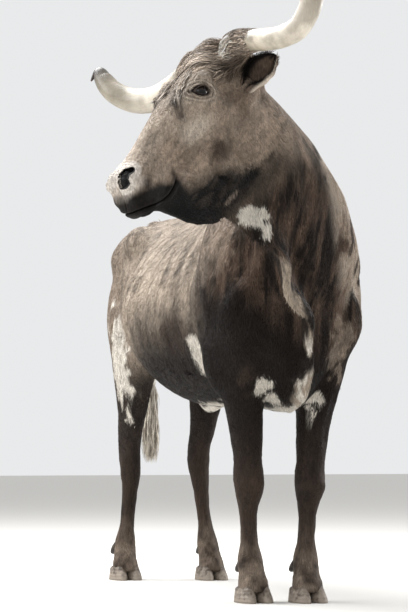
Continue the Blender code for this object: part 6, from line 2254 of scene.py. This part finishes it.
@dataclass(frozen=True)
class Poll:
    """The hair between and over the roots of the horns, swept over the brow and down the forehead."""

    crown: int = 1150
    sleeve: int = 420
    brow: int = 230
    roots: int = 90000  # places to choose the crown's from
    steps: int = 7  # along a lock

    def track(self, skin: BVHTree, start: Vector, way: Vector, length: float, lift: float,
              curl: float) -> tuple:
        """Lays one lock along the skin.

        Args:
            skin: The hide's surface.
            start: Its root, before the shift.
            way: Where it is combed.
            length: Its length.
            lift: How high its middle stands over the skin.
            curl: How far it swings to each side.

        Returns:
            The lock's track, half width, thickness and facing.
        """
        spot, up, _, _ = skin.find_nearest(start)
        facing, turn, made = up, RNG.uniform(0, 6.28), [spot - up * 0.002]
        for k in range(1, self.steps + 1):
            share = k / self.steps
            way = (way - up * way.dot(up)).normalized()
            spot, up, _, _ = skin.find_nearest(spot + way * (length / self.steps))
            swing = curl * math.sin(turn + share * 5.5) * min(1.0, share * 2.5)
            rise = lift * math.sin(math.pi * min(1.0, share * 0.86 + 0.06)) + 0.0012
            made.append(spot + up.cross(way) * swing + up * rise)
        return made, RNG.uniform(0.001, 0.0021), 0.0005, facing

    def locks(self, hide: Piece) -> tuple[list, Rows]:
        """Lays the locks.

        Args:
            hide: The skin, before the shift.

        Returns:
            The locks' tracks and their colours.
        """
        mesh = hide.data
        skin = BVHTree.FromPolygons([v.co for v in mesh.vertices], [f.vertices for f in mesh.polygons])
        roots = Roots.scatter(hide, Zone.HEAD, self.roots)
        u, v, w = to_head(roots.points).T
        made = []
        top = np.hypot((u - 0.03 + 0.15 * abs(w)) / 0.08, (w - 0.045) / 0.15) < 1.0
        for start in roots.points[RNG.permutation(np.flatnonzero(top & (v > -0.075)))[:self.crown]]:
            u, _, w = to_head(start)
            way = Vector(HEAD_AXES @ np.array((0.36 + 2.6 * max(u, 0), 0.0, -0.9 + 3.0 * min(w, 0))))
            length = RNG.uniform(0.055, 0.115) * (1.1 - 2.0 * max(u, 0)) * (1.0 if w > 0.02 else 0.6)
            lift = RNG.uniform(0.002, 0.017) * (1.0 if 0.0 < w < 0.07 else 0.35)
            made.append(self.track(skin, Vector(start), way, length, lift, RNG.uniform(0.003, 0.009)))
        for side in Side:
            rows = smooth_track(Horn(side).keys(), HORN_RINGS)
            for _ in range(self.sleeve):
                i = int(RNG.uniform(4, BOSS_RINGS - 2))
                across, up = ring_axes(rows, i)
                turn = RNG.uniform(0, 2 * math.pi)
                start = Vector(rows[i][:3]) + (across * math.cos(turn) + up
                                               * math.sin(turn)) * rows[i][3] * 1.3
                way = Vector(rows[i + 6][:3]) - Vector(rows[i][:3]) + across * RNG.uniform(-0.01, 0.01)
                made.append(self.track(skin, start, way, RNG.uniform(0.02, 0.038), RNG.uniform(0.001, 0.003),
                                       0.001))
            flow = smooth_track([(*p, 0.0) for p in FOREHEAD_FLOW], 60)
            for _ in range(self.brow):
                i = int(RNG.uniform(0, 46))
                off = RNG.normal(0.0, 0.009)
                at, ahead = flow[i], flow[i + 8] - flow[i]
                start = on_head(at[0] + 0.4 * off, at[1] + 0.004, side.value * (at[2] + off))
                way = Vector(HEAD_AXES @ np.array((ahead[0], ahead[1], side.value * ahead[2])))
                made.append(self.track(skin, start, way, RNG.uniform(0.03, 0.06),
                                       RNG.uniform(0.0008, 0.0022), 0.0012))
        tone = MARKINGS.colour(np.array([lock[0][2] for lock in made]))
        tone = tone * RNG.uniform(0.3, 1.75, (len(made), 1))
        return made, np.clip(tone, 0, 0.9)


@dataclass
class Coat:
    """All the hair: tufts over the hide, and the long locks of poll, ears, lids and tail."""

    most: int = 15800
    tufts: tuple[Tufts, ...] = (
        Tufts(Zone.HEAD, 44000, 0.01, 0.0008, 0.0016),
        Tufts(Zone.NECK, 60000, 0.023, 0.001, 0.0023),
        Tufts(Zone.TRUNK, 76000, 0.019, 0.0009, 0.0017),
        Tufts(Zone.LEGS, 28000, 0.013, 0.001, 0.0017),
    )

    def cover(self, hide: Piece) -> list:
        """Covers the hide with tufts.

        Args:
            hide: The skin, before the shift.

        Returns:
            The pieces of coat.
        """
        made = []
        for tufts in self.tufts:
            roots = Roots.scatter(hide, tufts.zone, tufts.count)
            parts = math.ceil(tufts.count / (self.most if tufts.long else 2 * self.most))
            turn = np.arange(tufts.count) % parts
            made += [tufts.build(roots.picked(turn == k), f"coat_{tufts.zone.value}_{k + 1}")
                     for k in range(parts)]
        return made

    def cover_stalk(self, stalk: Piece) -> list:
        """Covers the tail's stalk with tufts.

        Args:
            stalk: The tail's stalk.

        Returns:
            The pieces of coat.
        """
        made = []
        for zone, count in ((Zone.TRUNK, 1700), (Zone.LEGS, 260)):
            roots = Roots.scatter(stalk, zone, count)
            tufts = Tufts(zone, count, 0.034, 0.0022, 0.003, True)
            made.append(tufts.build(roots, f"coat_tail_{zone.value}"))
        return made

    def poll(self, hide: Piece) -> Piece:
        """Builds the curls of the poll."""
        locks, tone = Poll().locks(hide)
        return lock_piece("coat_poll", locks, tone, 7)

    def ears(self) -> Piece:
        """Builds the hair of both ears, coloured as the ear is at each root.

        Returns:
            The piece.
        """
        locks, tones = [], []
        for side in Side:
            grown = Ear(side).locks(800)
            tones.append(Ear(side).colours(np.array([lock[0][1] for lock in grown])))
            locks += grown
        return lock_piece("coat_ears", locks, np.concatenate(tones) * RNG.uniform(0.5, 1.7, (len(locks), 1)),
                          4)

    def lashes(self) -> Piece:
        """Builds the lashes of both eyes.

        Returns:
            The piece.
        """
        locks = [lash for side in Side for lash in Eye(side).lashes(38)]
        tone = linear_row("#4A3D35") * RNG.uniform(0.6, 1.5, (len(locks), 1))
        return lock_piece("lashes", locks, tone, 4)

    def switch(self) -> Piece:
        """Builds the long pale hair of the tail.

        Returns:
            The piece.
        """
        locks = Tail().locks(520)
        tone = linear_row("#CFC6B8") * RNG.uniform(0.45, 1.15, (len(locks), 1))
        return lock_piece("switch_hair", locks, tone, 9)


# Stage


@dataclass(frozen=True)
class Stage:
    """The floor, the light and the camera at the photograph's angle."""

    eye: tuple = (-2.3348, -5.8563, 0.48)
    turn: float = math.radians(-19.5)
    rise: float = math.radians(4.18)
    lens: float = 115.88

    def floor(self) -> None:
        """Lays a plain pale floor."""
        deselect()
        bpy.ops.mesh.primitive_plane_add(size=60.0, location=(0, 0, 0))
        ground = bpy.context.object
        ground.name = "floor"
        made, _, shader, _ = new_material("pale_floor", 0.9)
        shader.inputs["Base Color"].default_value = linear("#D2D0CC")
        ground.data.materials.append(made)

    def lamp(self, name: str, at: tuple, size: float, power: float, tint: str = "#FFFFFF") -> None:
        """Hangs one soft lamp, aimed at the animal's middle.

        Args:
            name: Its name.
            at: Where it hangs.
            size: Its width.
            power: Its power in watts.
            tint: Its colour.
        """
        light = bpy.data.lights.new(name, "AREA")
        light.shape, light.size, light.energy = "DISK", size, power
        light.color = linear(tint)[:3]
        lamp = bpy.data.objects.new(name, light)
        lamp.location = at
        lamp.rotation_euler = (Vector((0, 0, 0.95)) - Vector(at)).to_track_quat("-Z", "Y").to_euler()
        bpy.context.scene.collection.objects.link(lamp)

    def build(self) -> None:
        """Sets floor, world, lamps and camera."""
        self.floor()
        world = bpy.data.worlds.new("studio")
        bpy.context.scene.world = world
        world.use_nodes = True
        world.node_tree.nodes["Background"].inputs[0].default_value = linear("#F4F5F6")
        world.node_tree.nodes["Background"].inputs[1].default_value = 0.9
        bpy.context.scene.view_settings.view_transform = "Standard"
        self.lamp("sky", (-1.5, 2.5, 5.5), 5.0, 560)
        self.lamp("flank", (-5.0, 0.8, 3.2), 3.0, 120)
        self.lamp("front", (-3.0, -5.0, 2.6), 3.0, 30)
        self.lamp("edge", (4.6, 0.6, 2.6), 3.0, 170)
        lens = bpy.data.cameras.new("photo_view")
        lens.sensor_fit, lens.sensor_height, lens.lens, lens.clip_end = "VERTICAL", 36.0, self.lens, 100.0
        camera = bpy.data.objects.new("photo_view", lens)
        ahead = Vector((-math.sin(self.turn) * math.cos(self.rise), math.cos(self.turn) * math.cos(self.rise),
                        math.sin(self.rise)))
        camera.location = Vector(self.eye) + SHIFT
        camera.rotation_euler = ahead.to_track_quat("-Z", "Y").to_euler()
        bpy.context.scene.collection.objects.link(camera)
        bpy.context.scene.camera = camera


# Putting it together


def paint(obj: Piece, colours: Rows) -> None:
    """Writes the coat's colours on a piece's points.

    Args:
        obj: The piece.
        colours: One linear colour a point.
    """
    rows = np.concatenate([np.clip(colours, 0, 1), np.ones((len(colours), 1))], 1)
    layer = obj.data.attributes.new("coat", "FLOAT_COLOR", "POINT")
    layer.data.foreach_set("color", rows.astype(np.float32).ravel())


def settle(obj: Piece, slot: str, material: Finish | None, *nodes: str, moved: bool = False) -> None:
    """Finishes one piece: its place, faces, material and the solids that it stands for.

    Args:
        obj: The piece.
        slot: Not used.
        material: Its finish, or none where it has one.
        nodes: The solids that it replaces.
        moved: Whether it is in the solids' frame already.
    """
    if not moved:
        obj.data.transform(Matrix.Translation(SHIFT))
    obj.data.polygons.foreach_set("use_smooth", np.ones(len(obj.data.polygons), bool))
    obj.data.update()
    if material:
        obj.data.materials.append(material)
    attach(obj, "root")
    if nodes:
        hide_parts(*nodes)
    obj.data.calc_loop_triangles()
    LOG.info("%s: %d triangles", obj.name, len(obj.data.loop_triangles))


def build_hide() -> tuple[Piece, list]:
    """Builds the skin with tail and ears, and the coat that grows on it.

    Returns:
        The hide and the pieces of coat.
    """
    hide = Flesh().build()
    coat = Coat()
    stalk = Tail().build()
    hairs = [*coat.cover(hide), *coat.cover_stalk(stalk), coat.poll(hide)]
    for obj in (hide, stalk):
        paint(obj, MARKINGS.colour(points_of(obj)) * 0.8)
    parts = [hide, stalk]
    for side in Side:
        ear, rims = Ear(side).build(), Face().lid_rim(side.value)
        paint(ear, Ear(side).colours(points_of(ear)))
        paint(rims, np.tile(linear_row("#1C1513"), (len(rims.data.vertices), 1)))
        parts += [ear, rims]
    deselect()
    for obj in parts:
        obj.select_set(True)
    bpy.context.view_layer.objects.active = hide
    bpy.ops.object.join()
    hairs += [coat.ears(), coat.lashes()]
    return hide, hairs


def main() -> None:
    """Builds and dresses the animal, then sets the stage."""
    logging.basicConfig(level=logging.INFO, format="%(name)s: %(message)s")
    hide, hairs = build_hide()
    legs = [f"{leg}_{side.word}_{part}" for leg in ("foreleg", "hindleg") for side in Side
            for part in ("upper", "lower")]
    settle(hide, "hide", Hide().build(), "head", "neck", "torso", "tail", "ear_left", "ear_right", *legs)
    hair = CoatHair().build()
    for piece in hairs:
        settle(piece, "hide", hair, moved=True)
    settle(Coat().switch(), "switch_hair", hair, "tail_switch", moved=True)
    keratin, hoof = HornKeratin().build(), HoofHorn().build()
    for side in Side:
        settle(Horn(side).build(), "horn", keratin, "horn_" + side.word)
        eye = Eye(side)
        ball = eye.build()
        eye.dress(ball)
        settle(ball, "eye", None, "eye_" + side.word)
        for fore in (True, False):
            foot = Foot(side, fore)
            for inner in (True, False):
                toe = f"{foot.word()}_{'inner' if inner else 'outer'}"
                settle(foot.claw(inner), "hoof", hoof, "claw_" + toe)
                settle(foot.dewclaw(inner), "hoof", hoof, "dewclaw_" + toe)
    Stage().build()


if __name__ == "__main__":
    main()
